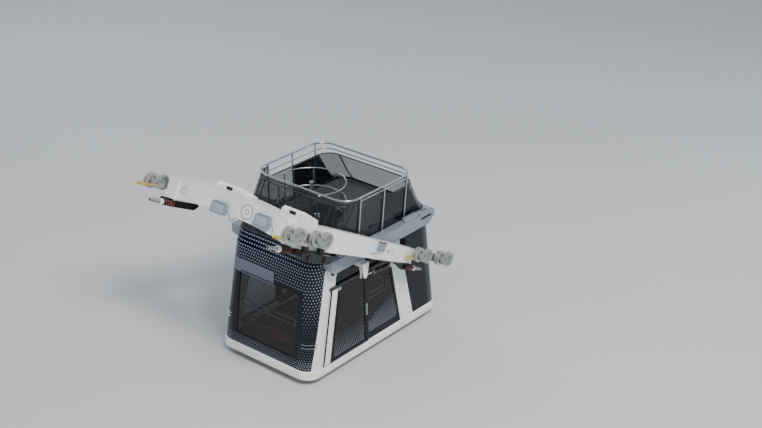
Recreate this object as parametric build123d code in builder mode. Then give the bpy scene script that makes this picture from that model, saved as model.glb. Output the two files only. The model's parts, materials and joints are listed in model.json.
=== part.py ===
from build123d import *

import os
from math import cos, hypot, radians, sin

# Double-deck cable car cabin with its twin-rope carriage, in millimetres. The origin is midway between
# the two track ropes, on the line of the pivots that carry the cabin. +X is level and points down the
# line, +Y points across it, +Z is up. The carriage stands on ropes that fall towards +X, and the cabin
# hangs level from it. Heights and stations of the cabin are measured from the middle of its underside.

os.makedirs("parts", exist_ok=True)

# Ropes and carriage
ROPE_GAUGE = 4290
ROPE_SLOPE = 26.0
ROPE_RADIUS = 30
GROUP_OFFSET = 2655
TRACK_HALF = ROPE_GAUGE / 2
GIRDER_INNER = 1690
GIRDER_OUTER = 1990
GIRDER_Y = (GIRDER_INNER + GIRDER_OUTER) / 2
TONGUE_THICK = 120

# Wheels and their trucks
TREAD_RADIUS = 150
WHEEL_RADIUS = 184
WHEEL_WIDTH = 96
WEB_HALF = 14
AXLE_RADIUS = 28
RUNNING_FIT = 0.06
AXLE_RISE = ROPE_RADIUS + TREAD_RADIUS
WHEEL_STATIONS = (-707, -304, 304, 707)
ROCKER_STATIONS = (-505.5, 505.5)
ROCKER_PIN_RADIUS = 26
ROCKER_PIN_RISE = 75
PLATE_THICK = 16
ROCKER_GAP = WHEEL_WIDTH / 2 + 8
EQUALISER_NEAR = ROCKER_GAP + PLATE_THICK + 6
EQUALISER_THICK = 26
MAIN_PIN_RISE = 165
MAIN_PIN_RADIUS = 70
LIGHTENING_HOLES = 6
HOLE_RADIUS = 13
HOLE_CIRCLE = 91

# Yoke, measured down the rope and square to it
YOKE_FACE = -2880
YOKE_DEPTH = 460
YOKE_END_TOP = 430
YOKE_MIDDLE_TOP = 555
YOKE_END_FOOT = -110
YOKE_MIDDLE_FOOT = 30
HOODS = ((250, 800), (-1670, 620))
LAMPS = ((220, 110), (-1080, 190))
LAMP_SIZE = (400, 260, 130)

# Cabin: its floors, walls and plan
CABIN_X = 1110
BASE_Z = -3130
CABIN_WIDTH = 3000
CABIN_LENGTH = 5200
BASE_TOP = 240
FLOOR_TOP = 200
WALL_TOP = 2820
DECK_TOP = 3100
PANEL_TOP = 3970
PANE_TOP = 4240
RAIL_HEIGHT = 4300
WALL_THICK = 60

# Outline of the body: height, half length, half width and corner radius, ruled from row to row
OUTLINE = (
    (-100, 2611, 1506, 380),
    (2820, 2290, 1330, 360),
    (3100, 2060, 1420, 380),
    (3400, 1830, 1450, 400),
    (3970, 1490, 1480, 420),
    (4400, 1228, 1502, 420),
)

# Windows, doors and door rails
END_WINDOW_LOW = 480
END_WINDOW_HIGH = 2160
END_WINDOW_HALF = 960
SIDE_WINDOW_START = -350
SIDE_WINDOW_LOW = 420
HEADER = 2130
PANE_INSET = 6
PANE_THICK = 16
DOORWAY_END = -430
DOOR_LOW = 262
DOOR_HIGH = 2150
DOOR_FOOT_START = -2100
DOOR_HEAD_START = -1700
DOOR_END = -400
DOOR_GAP = 18
DOOR_THICK = 38
DOOR_BORDER = 90
DOOR_LEG_STRIP = 215
DOOR_RAIL_SPAN = (-1760, 1010)
DOOR_RAIL_HEIGHTS = (2162, 2216)

# Legs of the side frames: their middle and their spread at foot and head
LEG_MIDDLE = -483
LEG_FOOT_SPREAD = 1697
LEG_HEAD_SPREAD = 1153
LEG_FOOT_WIDTH = 510
LEG_HEAD_WIDTH = 430
LEG_PROUD = 10
SHOULDER_OUTER = 1620
SHOULDER_LOW = 2720
SHOULDER_TOP = 3060
SHOULDER_PROFILE = ((-1950, 3060), (2050, 3060), (2050, 2900), (1850, 2720), (-1850, 2720), (-1950, 2850))

# Pivots and levelling cylinders, measured from the pivot line
PIVOT_RADIUS = 60
PIVOT_HOUSING = 140
PIVOT_FLANGE = (130, 30)
PIVOT_ARM_Y = 1540
PIVOT_ARM_THICK = 120
CYLINDER_Y = 1700
CYLINDER_FOOT = (1300, -900)
CYLINDER_EYE = (250, -800)
BARREL_RADIUS = 62
ROD_RADIUS = 32
ROD_FIT = 0.1
BARREL_START = 120
BARREL_END = 740
BORE_START = 180
ROD_START = 352
EYE_RADIUS = 52
EYE_HALF_WIDTH = 22
EYE_NECK = 60
FOOT_PIN_RADIUS = 25
CHEEK_GAP = 30
CHEEK_THICK = 20
LUG_GAP = 36
LUG_THICK = 20
LUG_RADIUS = 62
LUG_BOSS = 16
LUG_PLATE_HALF = 120

# Haul rope gear: where its hanger starts from the middle, towards each end
HAUL_Y = GIRDER_Y
HAUL_RISE = -230
HAUL_STARTS = ((-1, 2300), (1, 1500))
HANGER_LENGTH = 400
HANGER_HIGH = -90
HANGER_LOW = -310
HANGER_THICK = 60
DRUM_LENGTH = 400
DRUM_RADIUS = 78
DRUM_RIBS = 5
DRUM_GROOVE = 14
SOCKET_RADIUS = 58
SOCKET_LENGTH = 440
SOCKET_TAPER = 3
SOCKET_BORE = 22
SOCKET_DEPTH = 240

# Deck rails, stair and rails inside
RAIL_RADIUS = 24
RAIL_INSET = 10
LOW_RAIL_HEIGHT = 4150
LOW_RAIL_RADIUS = 16
LOW_RAIL_INSET = 75
POST_STATIONS = (-780, 130, 1000)
POST_WIDTH = 40
POST_THICK = 24
STAIR_X = -450
STAIR_Y = 330
WELL_RADIUS = 800
STEP_COUNT = 13
STEP_RISE = (DECK_TOP - FLOOR_TOP) / (STEP_COUNT + 1)
STEP_TURN = 27.0
STEP_START = 200
STEP_THICK = 40
STAIR_POST_RADIUS = 60
GUARD_RADIUS = 850
GUARD_HEIGHTS = (3580, 4060)
GUARD_START = 230
GUARD_ARC = 280
GUARD_POSTS = 6
GRAB_HEIGHTS = (1210, 1350)
GRAB_INSET = 170
GRAB_RADIUS = 17

SIDES = (("near", -1), ("far", 1))
ENDS = (("up", -1), ("down", 1))
SLOPE = radians(ROPE_SLOPE)
ALONG = Vector(cos(SLOPE), 0, -sin(SLOPE))


def save(part, name):
    """Label a finished piece and write it under its node's name."""
    part.part.label = name
    export_step(part.part, f"parts/{name}.step")


def rope_plane(y):
    """Upright plane at y whose own x runs down the rope and whose own y stands square to it."""
    return Plane(origin=(0, y, 0), x_dir=ALONG, z_dir=(0, -1, 0))


def rope_point(along, rise, y):
    """Point at a distance along the rope, a rise square to it, and a place across the line."""
    return Vector(along * cos(SLOPE) + rise * sin(SLOPE), y, rise * cos(SLOPE) - along * sin(SLOPE))


def rope_face(along):
    """Plane square to the rope: own x points to the far side, own y stands square to the rope."""
    return Plane(origin=rope_point(along, 0, 0), x_dir=(0, 1, 0), z_dir=ALONG)


def cabin_point(x, y, z):
    """Point in cabin measures."""
    return Vector(CABIN_X + x, y, BASE_Z + z)


def upright_plane(y):
    """Upright plane at y in cabin measures: own x from the cabin's middle, own y from its base."""
    return Plane(origin=cabin_point(0, y, 0), x_dir=(1, 0, 0), z_dir=(0, -1, 0))


def side_plane(sign, out):
    """Plane parallel to a leaning side wall and out from its face: own x and y as the upright plane."""
    low, high = OUTLINE[0], OUTLINE[1]
    lean = (low[2] - high[2]) / (high[0] - low[0])
    foot = cabin_point(0, sign * (low[2] + lean * low[0]), 0)
    return Plane(origin=foot, x_dir=(1, 0, 0), z_dir=(0, -1, sign * -lean)).offset(-sign * out)


def outline_at(z):
    """Half length, half width and corner radius of the body at a height."""
    for low, high in zip(OUTLINE, OUTLINE[1:]):
        if z <= high[0]:
            share = (z - low[0]) / (high[0] - low[0])
            return [a + (b - a) * share for a, b in zip(low[1:], high[1:])]
    return list(OUTLINE[-1][1:])


def plan_outline(z, inset):
    """Rounded plan of the body at a height, set in by inset."""
    length, width, corner = outline_at(z)
    with BuildSketch(Plane(cabin_point(0, 0, z))) as plan:
        RectangleRounded(2 * (length - inset), 2 * (width - inset), max(corner - inset, 60))
    return plan.sketch.face()


def body_block(low, high, inset, mode=Mode.ADD):
    """Block of the body between two heights, set in by inset."""
    heights = [low] + [row[0] for row in OUTLINE if low < row[0] < high] + [high]
    loft([plan_outline(z, inset) for z in heights], ruled=True, mode=mode)


def body_ring(low, high, outer, inner):
    """Wall of the body between two heights, from the outer inset to the inner one."""
    body_block(low, high, outer)
    body_block(low - 1, high + 1, inner, Mode.SUBTRACT)


def leg_edge(end, z, part):
    """X of a leg's edge at height z: part -1 is its edge towards the cabin's end, 1 the inner edge."""
    share = (z - BASE_TOP) / (WALL_TOP - BASE_TOP)
    spread = LEG_FOOT_SPREAD + (LEG_HEAD_SPREAD - LEG_FOOT_SPREAD) * share
    width = LEG_FOOT_WIDTH + (LEG_HEAD_WIDTH - LEG_FOOT_WIDTH) * share
    return LEG_MIDDLE + end * (spread - part * width / 2)


def cross_prism(corners, mode):
    """Prism through the whole width of the cabin over a polygon in its side view."""
    with BuildSketch(upright_plane(CABIN_WIDTH)) as outline:
        with BuildLine():
            Polyline(*corners, close=True)
        make_face()
    extrude(outline.sketch, amount=2 * CABIN_WIDTH, mode=mode)


def keep_side(sign):
    """Keep only the half of the cabin on one side of its middle."""
    with Locations(cabin_point(0, sign * CABIN_WIDTH / 2, PANEL_TOP / 2)):
        Box(2 * CABIN_LENGTH, CABIN_WIDTH, 2 * PANEL_TOP, mode=Mode.INTERSECT)


def tube_ring(z, inset, radius):
    """Closed round tube that follows the body's plan at a height."""
    path = plan_outline(z, inset).outer_wire()
    with BuildSketch(Plane(origin=path @ 0, z_dir=path % 0)) as section:
        Circle(radius)
    sweep(section.sketch, path=path)


# Girders: tapered boxes along the ropes, with a tongue to the lower wheels and the cylinder's bracket
GIRDER_PROFILE = (
    (-2920, -110),
    (-2920, 380),
    (-2300, 415),
    (-1600, 420),
    (-900, 390),
    (2020, 270),
    (2060, 230),
    (2060, -40),
    (2000, -100),
    (-2300, -130),
)
TONGUE_PROFILE = ((2040, 40), (2040, 240), (2760, 240), (2760, 110))
BRACKET_PROFILE = ((-60, -40), (60, -40), (190, 260), (-60, 330))
BRACKET_PLATE = (300, 120, 40)
BRACKET_PLATE_PLACE = (10, 0, 300)


def girder_body(sign, mode):
    """Closed box of one girder."""
    with BuildSketch(rope_plane(sign * GIRDER_Y)) as outline:
        with BuildLine():
            Polyline(*GIRDER_PROFILE, close=True)
        make_face()
    extrude(outline.sketch, amount=(GIRDER_OUTER - GIRDER_INNER) / 2, both=True, mode=mode)


for side, sign in SIDES:
    foot = Vector(CYLINDER_FOOT[0], sign * CYLINDER_Y, CYLINDER_FOOT[1])
    with BuildPart() as girder:
        girder_body(sign, Mode.ADD)
        with BuildSketch(rope_plane(sign * (GIRDER_OUTER - TONGUE_THICK / 2))):
            with BuildLine():
                Polyline(*TONGUE_PROFILE, close=True)
            make_face()
        extrude(amount=TONGUE_THICK / 2, both=True)
        for offset in (-1, 1):
            cheek = Vector(0, offset * (CHEEK_GAP + CHEEK_THICK / 2), 0)
            with BuildSketch(Plane(origin=foot + cheek, x_dir=(1, 0, 0), z_dir=(0, -1, 0))):
                with BuildLine():
                    Polyline(*BRACKET_PROFILE, close=True)
                make_face()
            extrude(amount=CHEEK_THICK / 2, both=True)
        along, across, rise = BRACKET_PLATE_PLACE
        with Locations(Location(foot + Vector(along, sign * across, rise), (0, ROPE_SLOPE, 0))):
            Box(*BRACKET_PLATE)
        with Locations(Location(foot, (90, 0, 0))):
            Cylinder(FOOT_PIN_RADIUS, 2 * (CHEEK_GAP + CHEEK_THICK) + 8)
    save(girder, f"girder_{side}")

# Yoke: arched cross beam that ties the two girders above the cabin's uphill end
with BuildPart() as yoke:
    with BuildSketch(rope_face(YOKE_FACE)):
        with BuildLine():
            near, far = -GIRDER_INNER, GIRDER_INNER
            Line((near, YOKE_END_FOOT), (near, YOKE_END_TOP))
            ThreePointArc((near, YOKE_END_TOP), (0, YOKE_MIDDLE_TOP), (far, YOKE_END_TOP))
            Line((far, YOKE_END_TOP), (far, YOKE_END_FOOT))
            ThreePointArc((far, YOKE_END_FOOT), (0, YOKE_MIDDLE_FOOT), (near, YOKE_END_FOOT))
        make_face()
    extrude(amount=YOKE_DEPTH)
save(yoke, "yoke")

# Hoods on the yoke, each with a dark window in its uphill end
HOOD_PROFILE = ((-2830, 350), (-2850, 610), (-2760, 680), (-2250, 560), (-2180, 350))
HOOD_WINDOW = (230, 80)
HOOD_WINDOW_PLACE = (-2860, 590)
HOOD_WINDOW_DEPTH = 110
with BuildPart() as hoods:
    for y, width in HOODS:
        with BuildSketch(rope_plane(y)):
            with BuildLine():
                Polyline(*HOOD_PROFILE, close=True)
            make_face()
        extrude(amount=width / 2, both=True)
        along, rise = HOOD_WINDOW_PLACE
        with BuildSketch(rope_face(along)):
            with Locations((y, rise)):
                RectangleRounded(*HOOD_WINDOW, 20)
        extrude(amount=HOOD_WINDOW_DEPTH, mode=Mode.SUBTRACT)
    add(yoke.part, mode=Mode.SUBTRACT)
    girder_body(-1, Mode.SUBTRACT)
save(hoods, "yoke_hoods")

# Work lamps on the yoke's uphill face, each held by two flat arms
LAMP_STANDOFF = 60
LAMP_ARM = (40, 120)
LAMP_ARM_OFFSETS = (-130, 130)
with BuildPart() as lamps:
    for y, rise in LAMPS:
        width, height, depth = LAMP_SIZE
        with BuildSketch(rope_face(YOKE_FACE - LAMP_STANDOFF)):
            with Locations((y, rise)):
                RectangleRounded(width, height, 40)
        extrude(amount=-depth, taper=6)
        with BuildSketch(rope_face(YOKE_FACE - LAMP_STANDOFF)):
            with Locations(*[(y + offset, rise) for offset in LAMP_ARM_OFFSETS]):
                Rectangle(*LAMP_ARM)
        extrude(amount=LAMP_STANDOFF)
save(lamps, "work_lamps")

# Wheel trucks: an equaliser on a main pin, two rockers on it, and four wheels on their axles
EQUALISER_PROFILE = (
    (-600, 20),
    (-600, 130),
    (-120, 260),
    (120, 260),
    (600, 130),
    (600, 20),
    (120, 60),
    (-120, 60),
)
HUB_HALF = WHEEL_WIDTH / 2
WHEEL_PROFILE = (
    (HUB_HALF, AXLE_RADIUS + RUNNING_FIT),
    (HUB_HALF, 62),
    (WEB_HALF, 70),
    (WEB_HALF, 112),
    (HUB_HALF, 122),
    (HUB_HALF, WHEEL_RADIUS),
    (36, WHEEL_RADIUS),
    (22, TREAD_RADIUS + 8),
    (0, TREAD_RADIUS),
)


def rocker_profile(first, last):
    """Corners of a rocker plate that carries two axles and hangs on its pin between them."""
    centre = (first + last) / 2
    return (
        (first - 45, AXLE_RISE + 40),
        (first + 45, AXLE_RISE + 45),
        (centre, 150),
        (last - 45, AXLE_RISE + 45),
        (last + 45, AXLE_RISE + 40),
        (last + 55, AXLE_RISE - 40),
        (centre + 60, 25),
        (centre - 60, 25),
        (first - 55, AXLE_RISE - 40),
    )


for side, sign in SIDES:
    track = sign * TRACK_HALF
    for end, way in ENDS:
        middle = way * GROUP_OFFSET
        y_plate = sign * (TRACK_HALF - EQUALISER_NEAR - EQUALISER_THICK / 2)
        with BuildPart() as truck:
            with BuildSketch(rope_plane(y_plate)):
                with BuildLine():
                    Polyline(*[(middle + x, y) for x, y in EQUALISER_PROFILE], close=True)
                make_face()
            extrude(amount=EQUALISER_THICK / 2, both=True)
            boss = abs(y_plate) - GIRDER_OUTER
            main_pin = rope_point(middle, MAIN_PIN_RISE, sign * (GIRDER_OUTER + boss / 2))
            with Locations(Location(main_pin, (90, 0, 0))):
                Cylinder(MAIN_PIN_RADIUS, boss)
            for station in ROCKER_STATIONS:
                with Locations(Location(rope_point(middle + station, ROCKER_PIN_RISE, track), (90, 0, 0))):
                    Cylinder(ROCKER_PIN_RADIUS, 2 * (EQUALISER_NEAR + 1))
        save(truck, f"truck_{side}_{end}")

        with BuildPart() as rockers:
            for index, station in enumerate(ROCKER_STATIONS):
                first, last = (middle + WHEEL_STATIONS[2 * index + k] for k in (0, 1))
                for offset in (-1, 1):
                    y_plate = track + offset * (ROCKER_GAP + PLATE_THICK / 2)
                    with BuildSketch(rope_plane(y_plate)):
                        with BuildLine():
                            Polyline(*rocker_profile(first, last), close=True)
                        make_face()
                        with Locations(((first + last) / 2, ROCKER_PIN_RISE)):
                            Circle(ROCKER_PIN_RADIUS + RUNNING_FIT, mode=Mode.SUBTRACT)
                    extrude(amount=PLATE_THICK / 2, both=True)
                for along in (first, last):
                    with Locations(Location(rope_point(along, AXLE_RISE, track), (90, 0, 0))):
                        Cylinder(AXLE_RADIUS, 2 * (ROCKER_GAP + PLATE_THICK) + 8)
        save(rockers, f"rockers_{side}_{end}")

        for number, station in enumerate(WHEEL_STATIONS, 1):
            hub = rope_point(middle + station, AXLE_RISE, track)
            with BuildPart() as wheel:
                with BuildSketch(Plane(origin=hub, x_dir=(0, 1, 0), z_dir=ALONG * -1)):
                    with BuildLine():
                        mirrored = [(-x, y) for x, y in WHEEL_PROFILE[:-1]]
                        Polyline(*mirrored, *reversed(WHEEL_PROFILE), close=True)
                    make_face()
                revolve(axis=Axis(hub, (0, 1, 0)))
                with BuildSketch(Plane(origin=hub + Vector(0, WHEEL_WIDTH, 0), z_dir=(0, -1, 0))):
                    with PolarLocations(HOLE_CIRCLE, LIGHTENING_HOLES):
                        Circle(HOLE_RADIUS)
                extrude(amount=2 * WHEEL_WIDTH, mode=Mode.SUBTRACT)
            save(wheel, f"wheel_{side}_{end}_{number}")

# Rope guides ahead of each wheel group, on arms from the equalisers
GUIDE_SPAN = (-1090, -940)
GUIDE_RISES = (ROPE_RADIUS + 6, 110)
GUIDE_BEYOND = 45
GUIDE_ARM_END = -600
GUIDE_ARM_RISE = 60
with BuildPart() as guides:
    for _, sign in SIDES:
        for _, way in ENDS:
            middle = way * GROUP_OFFSET
            start, stop = (middle + along for along in GUIDE_SPAN)
            inner = EQUALISER_NEAR + EQUALISER_THICK
            low, high = GUIDE_RISES
            with BuildSketch(rope_plane(sign * (TRACK_HALF - (inner - GUIDE_BEYOND) / 2))):
                with BuildLine():
                    nose = ((start, low), (start, high - 30), (start + 40, high))
                    Polyline(*nose, (stop, high), (stop, low), close=True)
                make_face()
            extrude(amount=(inner + GUIDE_BEYOND) / 2, both=True)
            with BuildSketch(rope_plane(sign * (TRACK_HALF - EQUALISER_NEAR - EQUALISER_THICK / 2))):
                with BuildLine():
                    arm_end, arm_low = middle + GUIDE_ARM_END, GUIDE_ARM_RISE
                    Polyline((stop, arm_low), (stop, high), (arm_end, high), (arm_end, arm_low), close=True)
                make_face()
            extrude(amount=EQUALISER_THICK / 2, both=True)
save(guides, "rope_guides")

# Track rope brakes under the uphill wheels, hung from the girders' outer faces
BRAKE_PROFILE = ((-2780, -160), (-1640, -160), (-1600, -250), (-1740, -350), (-2620, -350), (-2800, -260))
BRAKE_Y = 2130
BRAKE_HALF = 100
BRAKE_HUB_RISE = -260
BRAKE_HUB = (70, 40)
BRAKE_ARM = (160, 130)
BRAKE_ARM_RISE = -115
BRAKE_ARM_STATIONS = (-2500, -1900)
with BuildPart() as brakes:
    for _, sign in SIDES:
        with BuildSketch(rope_plane(sign * BRAKE_Y)):
            with BuildLine():
                Polyline(*BRAKE_PROFILE, close=True)
            make_face()
        extrude(amount=BRAKE_HALF, both=True)
        for along in BRAKE_ARM_STATIONS:
            with BuildSketch(rope_plane(sign * GIRDER_OUTER)):
                with Locations((along, BRAKE_ARM_RISE)):
                    Rectangle(*BRAKE_ARM)
            extrude(amount=-sign * (BRAKE_Y - BRAKE_HALF + 60 - GIRDER_OUTER))
            hub = rope_point(along, BRAKE_HUB_RISE, sign * (BRAKE_Y + BRAKE_HALF + BRAKE_HUB[1] / 2))
            with Locations(Location(hub, (90, 0, 0))):
                Cylinder(*BRAKE_HUB)
save(brakes, "rope_brakes")

# Haul rope gear under the girders: a hanger and a ribbed buffer drum, then a socket with its bore
with BuildPart() as buffers:
    for _, sign in SIDES:
        for way, start in HAUL_STARTS:
            stop = start + HANGER_LENGTH
            with BuildSketch(rope_plane(sign * HAUL_Y)):
                with BuildLine():
                    Polyline(
                        (way * start, HANGER_HIGH),
                        (way * start, 2 * HANGER_HIGH),
                        (way * (stop - 60), HANGER_LOW),
                        (way * stop, HANGER_LOW),
                        (way * stop, HANGER_HIGH),
                        close=True,
                    )
                make_face()
            extrude(amount=HANGER_THICK / 2, both=True)
            drum = rope_point(way * stop, HAUL_RISE, sign * HAUL_Y)
            with BuildSketch(Plane(origin=drum, z_dir=ALONG * way)):
                Circle(DRUM_RADIUS - DRUM_GROOVE)
            extrude(amount=DRUM_LENGTH)
            pitch = DRUM_LENGTH / DRUM_RIBS
            for rib in range(DRUM_RIBS):
                foot = drum + ALONG * way * pitch * (rib + 0.25)
                with BuildSketch(Plane(origin=foot, z_dir=ALONG * way)):
                    Circle(DRUM_RADIUS)
                extrude(amount=0.55 * pitch)
        girder_body(sign, Mode.SUBTRACT)
save(buffers, "haul_buffers")
with BuildPart() as sockets:
    for _, sign in SIDES:
        for way, start in HAUL_STARTS:
            throat = rope_point(way * (start + HANGER_LENGTH + DRUM_LENGTH), HAUL_RISE, sign * HAUL_Y)
            with BuildSketch(Plane(origin=throat, z_dir=ALONG * way)):
                Circle(SOCKET_RADIUS)
            extrude(amount=SOCKET_LENGTH, taper=SOCKET_TAPER)
            mouth = throat + ALONG * way * SOCKET_LENGTH
            with BuildSketch(Plane(origin=mouth, z_dir=ALONG * -way)):
                Circle(SOCKET_BORE)
            extrude(amount=SOCKET_DEPTH, mode=Mode.SUBTRACT)
save(sockets, "haul_sockets")

# Pivot stubs on the girders' inner faces
with BuildPart() as pivots:
    for _, sign in SIDES:
        length = GIRDER_INNER - PIVOT_ARM_Y + PIVOT_ARM_THICK / 2
        with Locations(Location((0, sign * (GIRDER_INNER - length / 2), 0), (90, 0, 0))):
            Cylinder(PIVOT_RADIUS, length)
        with Locations(Location((0, sign * (GIRDER_INNER - PIVOT_FLANGE[1] / 2), 0), (90, 0, 0))):
            Cylinder(*PIVOT_FLANGE)
save(pivots, "pivot_stubs")

# Levelling cylinders: barrel on the girder's bracket, rod with its eye at the cabin's lugs
REACH = hypot(CYLINDER_EYE[0] - CYLINDER_FOOT[0], CYLINDER_EYE[1] - CYLINDER_FOOT[1])
for side, sign in SIDES:
    foot = Vector(CYLINDER_FOOT[0], sign * CYLINDER_Y, CYLINDER_FOOT[1])
    eye = Vector(CYLINDER_EYE[0], sign * CYLINDER_Y, CYLINDER_EYE[1])
    aim = (eye - foot).normalized()
    swing = Plane(origin=foot, x_dir=aim, z_dir=(0, -1, 0))
    with BuildPart() as barrel:
        with BuildSketch(Plane(origin=foot + aim * BARREL_START, z_dir=aim)):
            Circle(BARREL_RADIUS)
        extrude(amount=BARREL_END - BARREL_START)
        with BuildSketch(swing):
            Circle(EYE_RADIUS)
            with Locations((BARREL_START / 2, 0)):
                Rectangle(BARREL_START + 10, EYE_NECK)
        extrude(amount=EYE_HALF_WIDTH, both=True)
        with BuildSketch(Plane(origin=foot + aim * BORE_START, z_dir=aim)):
            Circle(ROD_RADIUS + ROD_FIT)
        extrude(amount=BARREL_END, mode=Mode.SUBTRACT)
        with BuildSketch(swing):
            Circle(FOOT_PIN_RADIUS + RUNNING_FIT)
        extrude(amount=2 * EYE_HALF_WIDTH, both=True, mode=Mode.SUBTRACT)
    save(barrel, f"cylinder_{side}")
    with BuildPart() as rod:
        with BuildSketch(Plane(origin=foot + aim * ROD_START, z_dir=aim)):
            Circle(ROD_RADIUS)
        extrude(amount=REACH - ROD_START - EYE_RADIUS)
        with BuildSketch(Plane(origin=eye, x_dir=aim, z_dir=(0, -1, 0))):
            Circle(EYE_RADIUS)
            with Locations((-EYE_RADIUS, 0)):
                Rectangle(EYE_NECK + 30, EYE_NECK)
        extrude(amount=EYE_HALF_WIDTH, both=True)
    save(rod, f"rod_{side}")

# Base ring, floor and the black pan under the floor
BASE_PROUD = 30
BASE_DEPTH = 150
FLOOR_LOW = 60
PAN_INSET = 260
PAN_LOW = -90
PAN_END = 1000
with BuildPart() as base:
    body_ring(0, BASE_TOP, -BASE_PROUD, BASE_DEPTH)
save(base, "base_ring")
with BuildPart() as floor:
    body_block(FLOOR_LOW, FLOOR_TOP, BASE_DEPTH)
save(floor, "floor")
with BuildPart() as pan:
    body_block(PAN_LOW, FLOOR_LOW, PAN_INSET)
    with Locations(cabin_point(PAN_END + CABIN_LENGTH / 2, 0, PAN_LOW)):
        Box(CABIN_LENGTH, CABIN_WIDTH, 2 * (FLOOR_LOW - PAN_LOW - 1), mode=Mode.SUBTRACT)
save(pan, "belly_pan")

# Side frames: two leaning legs, a shoulder beam on their heads, the pivot's housing and the cylinder's lugs
HOUSING_PROFILE = ((-300, -90), (300, -90), (150, 60), (-150, 60))
LUG_PROFILE = ((-60, -20), (60, -20), (120, 270), (-120, 270))
LUG_PLATE = ((1480, -400), (1620, -400), (1620, -450), (1756, -450), (1756, -540), (1480, -540))
for side, sign in SIDES:
    with BuildPart() as legs:
        body_ring(BASE_TOP, WALL_TOP, -LEG_PROUD, WALL_THICK)
        with BuildSketch(upright_plane(0)):
            for way in (-1, 1):
                with BuildLine():
                    Polyline(
                        (leg_edge(way, BASE_TOP, -1), BASE_TOP),
                        (leg_edge(way, BASE_TOP, 1), BASE_TOP),
                        (leg_edge(way, WALL_TOP, 1), WALL_TOP),
                        (leg_edge(way, WALL_TOP, -1), WALL_TOP),
                        close=True,
                    )
                make_face()
        extrude(amount=-sign * CABIN_WIDTH, mode=Mode.INTERSECT)
    with BuildPart() as shoulder:
        with BuildSketch(upright_plane(sign * SHOULDER_OUTER)):
            with BuildLine():
                Polyline(*SHOULDER_PROFILE, close=True)
            make_face()
        extrude(amount=sign * SHOULDER_OUTER / 4)
        body_block(SHOULDER_LOW - 10, SHOULDER_TOP + 10, 0, Mode.SUBTRACT)
    with BuildPart() as frame:
        add(legs.part)
        add(shoulder.part)
        with BuildSketch(Plane(origin=(0, sign * PIVOT_ARM_Y, 0), x_dir=(1, 0, 0), z_dir=(0, -1, 0))):
            with BuildLine():
                Polyline(*HOUSING_PROFILE, close=True)
            make_face()
            Circle(PIVOT_HOUSING)
        extrude(amount=PIVOT_ARM_THICK / 2, both=True)
        with BuildSketch(Plane(origin=(0, sign * PIVOT_ARM_Y, 0), x_dir=(1, 0, 0), z_dir=(0, -1, 0))):
            Circle(PIVOT_RADIUS + RUNNING_FIT)
        extrude(amount=PIVOT_ARM_THICK, both=True, mode=Mode.SUBTRACT)
        eye = Vector(CYLINDER_EYE[0], sign * CYLINDER_Y, CYLINDER_EYE[1])
        with BuildSketch(Plane(origin=(CYLINDER_EYE[0], 0, 0), x_dir=(0, sign, 0), z_dir=(sign, 0, 0))):
            with BuildLine():
                Polyline(*LUG_PLATE, close=True)
            make_face()
        extrude(amount=LUG_PLATE_HALF, both=True)
        for offset in (-1, 1):
            lug = eye + Vector(0, offset * (LUG_GAP + LUG_THICK / 2), 0)
            with BuildSketch(Plane(origin=lug, x_dir=(1, 0, 0), z_dir=(0, -1, 0))):
                with BuildLine():
                    Polyline(*LUG_PROFILE, close=True)
                make_face()
                Circle(LUG_RADIUS)
            extrude(amount=LUG_THICK / 2, both=True)
            boss = eye + Vector(0, offset * (LUG_GAP + LUG_THICK + LUG_BOSS / 2), 0)
            with Locations(Location(boss, (90, 0, 0))):
                Cylinder(FOOT_PIN_RADIUS, LUG_BOSS)
    save(frame, f"side_frame_{side}")


def end_window_prism(mode):
    """Prism through the whole length of the cabin over the window of its ends."""
    start = Plane(origin=cabin_point(-CABIN_LENGTH, 0, 0), x_dir=(0, 1, 0), z_dir=(1, 0, 0))
    with BuildSketch(start) as outline:
        with Locations((0, (END_WINDOW_LOW + END_WINDOW_HIGH) / 2)):
            RectangleRounded(2 * END_WINDOW_HALF, END_WINDOW_HIGH - END_WINDOW_LOW, 90)
    extrude(outline.sketch, amount=2 * CABIN_LENGTH, mode=mode)


def side_window_corners():
    """Corners of the fixed side window, between the doorway's post and the downhill leg."""
    return [
        (SIDE_WINDOW_START, SIDE_WINDOW_LOW),
        (leg_edge(1, SIDE_WINDOW_LOW, 1) - WALL_THICK, SIDE_WINDOW_LOW),
        (leg_edge(1, HEADER, 1) - WALL_THICK, HEADER),
        (SIDE_WINDOW_START, HEADER),
    ]


# End walls: they wrap both corners up to the legs, with a window cut in each end
for end, way in ENDS:
    with BuildPart() as wall:
        body_ring(BASE_TOP, WALL_TOP, 0, WALL_THICK)
        cross_prism(
            [
                (way * CABIN_LENGTH, BASE_TOP),
                (leg_edge(way, BASE_TOP, -1), BASE_TOP),
                (leg_edge(way, WALL_TOP, -1), WALL_TOP),
                (way * CABIN_LENGTH, WALL_TOP),
            ],
            Mode.INTERSECT,
        )
        end_window_prism(Mode.SUBTRACT)
    save(wall, f"end_wall_{end}")

# Side walls between the legs, with the doorway and one fixed window cut
for side, sign in SIDES:
    with BuildPart() as wall:
        body_ring(BASE_TOP, WALL_TOP, 0, WALL_THICK)
        cross_prism(
            [
                (leg_edge(-1, BASE_TOP, 1), BASE_TOP),
                (leg_edge(1, BASE_TOP, 1), BASE_TOP),
                (leg_edge(1, WALL_TOP, 1), WALL_TOP),
                (leg_edge(-1, WALL_TOP, 1), WALL_TOP),
            ],
            Mode.INTERSECT,
        )
        keep_side(sign)
        below = BASE_TOP - WALL_THICK
        cross_prism(
            [
                (leg_edge(-1, below, 1) - LEG_PROUD, below),
                (DOORWAY_END, below),
                (DOORWAY_END, HEADER),
                (leg_edge(-1, HEADER, 1) - LEG_PROUD, HEADER),
            ],
            Mode.SUBTRACT,
        )
        cross_prism(side_window_corners(), Mode.SUBTRACT)
    save(wall, f"side_wall_{side}")

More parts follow.
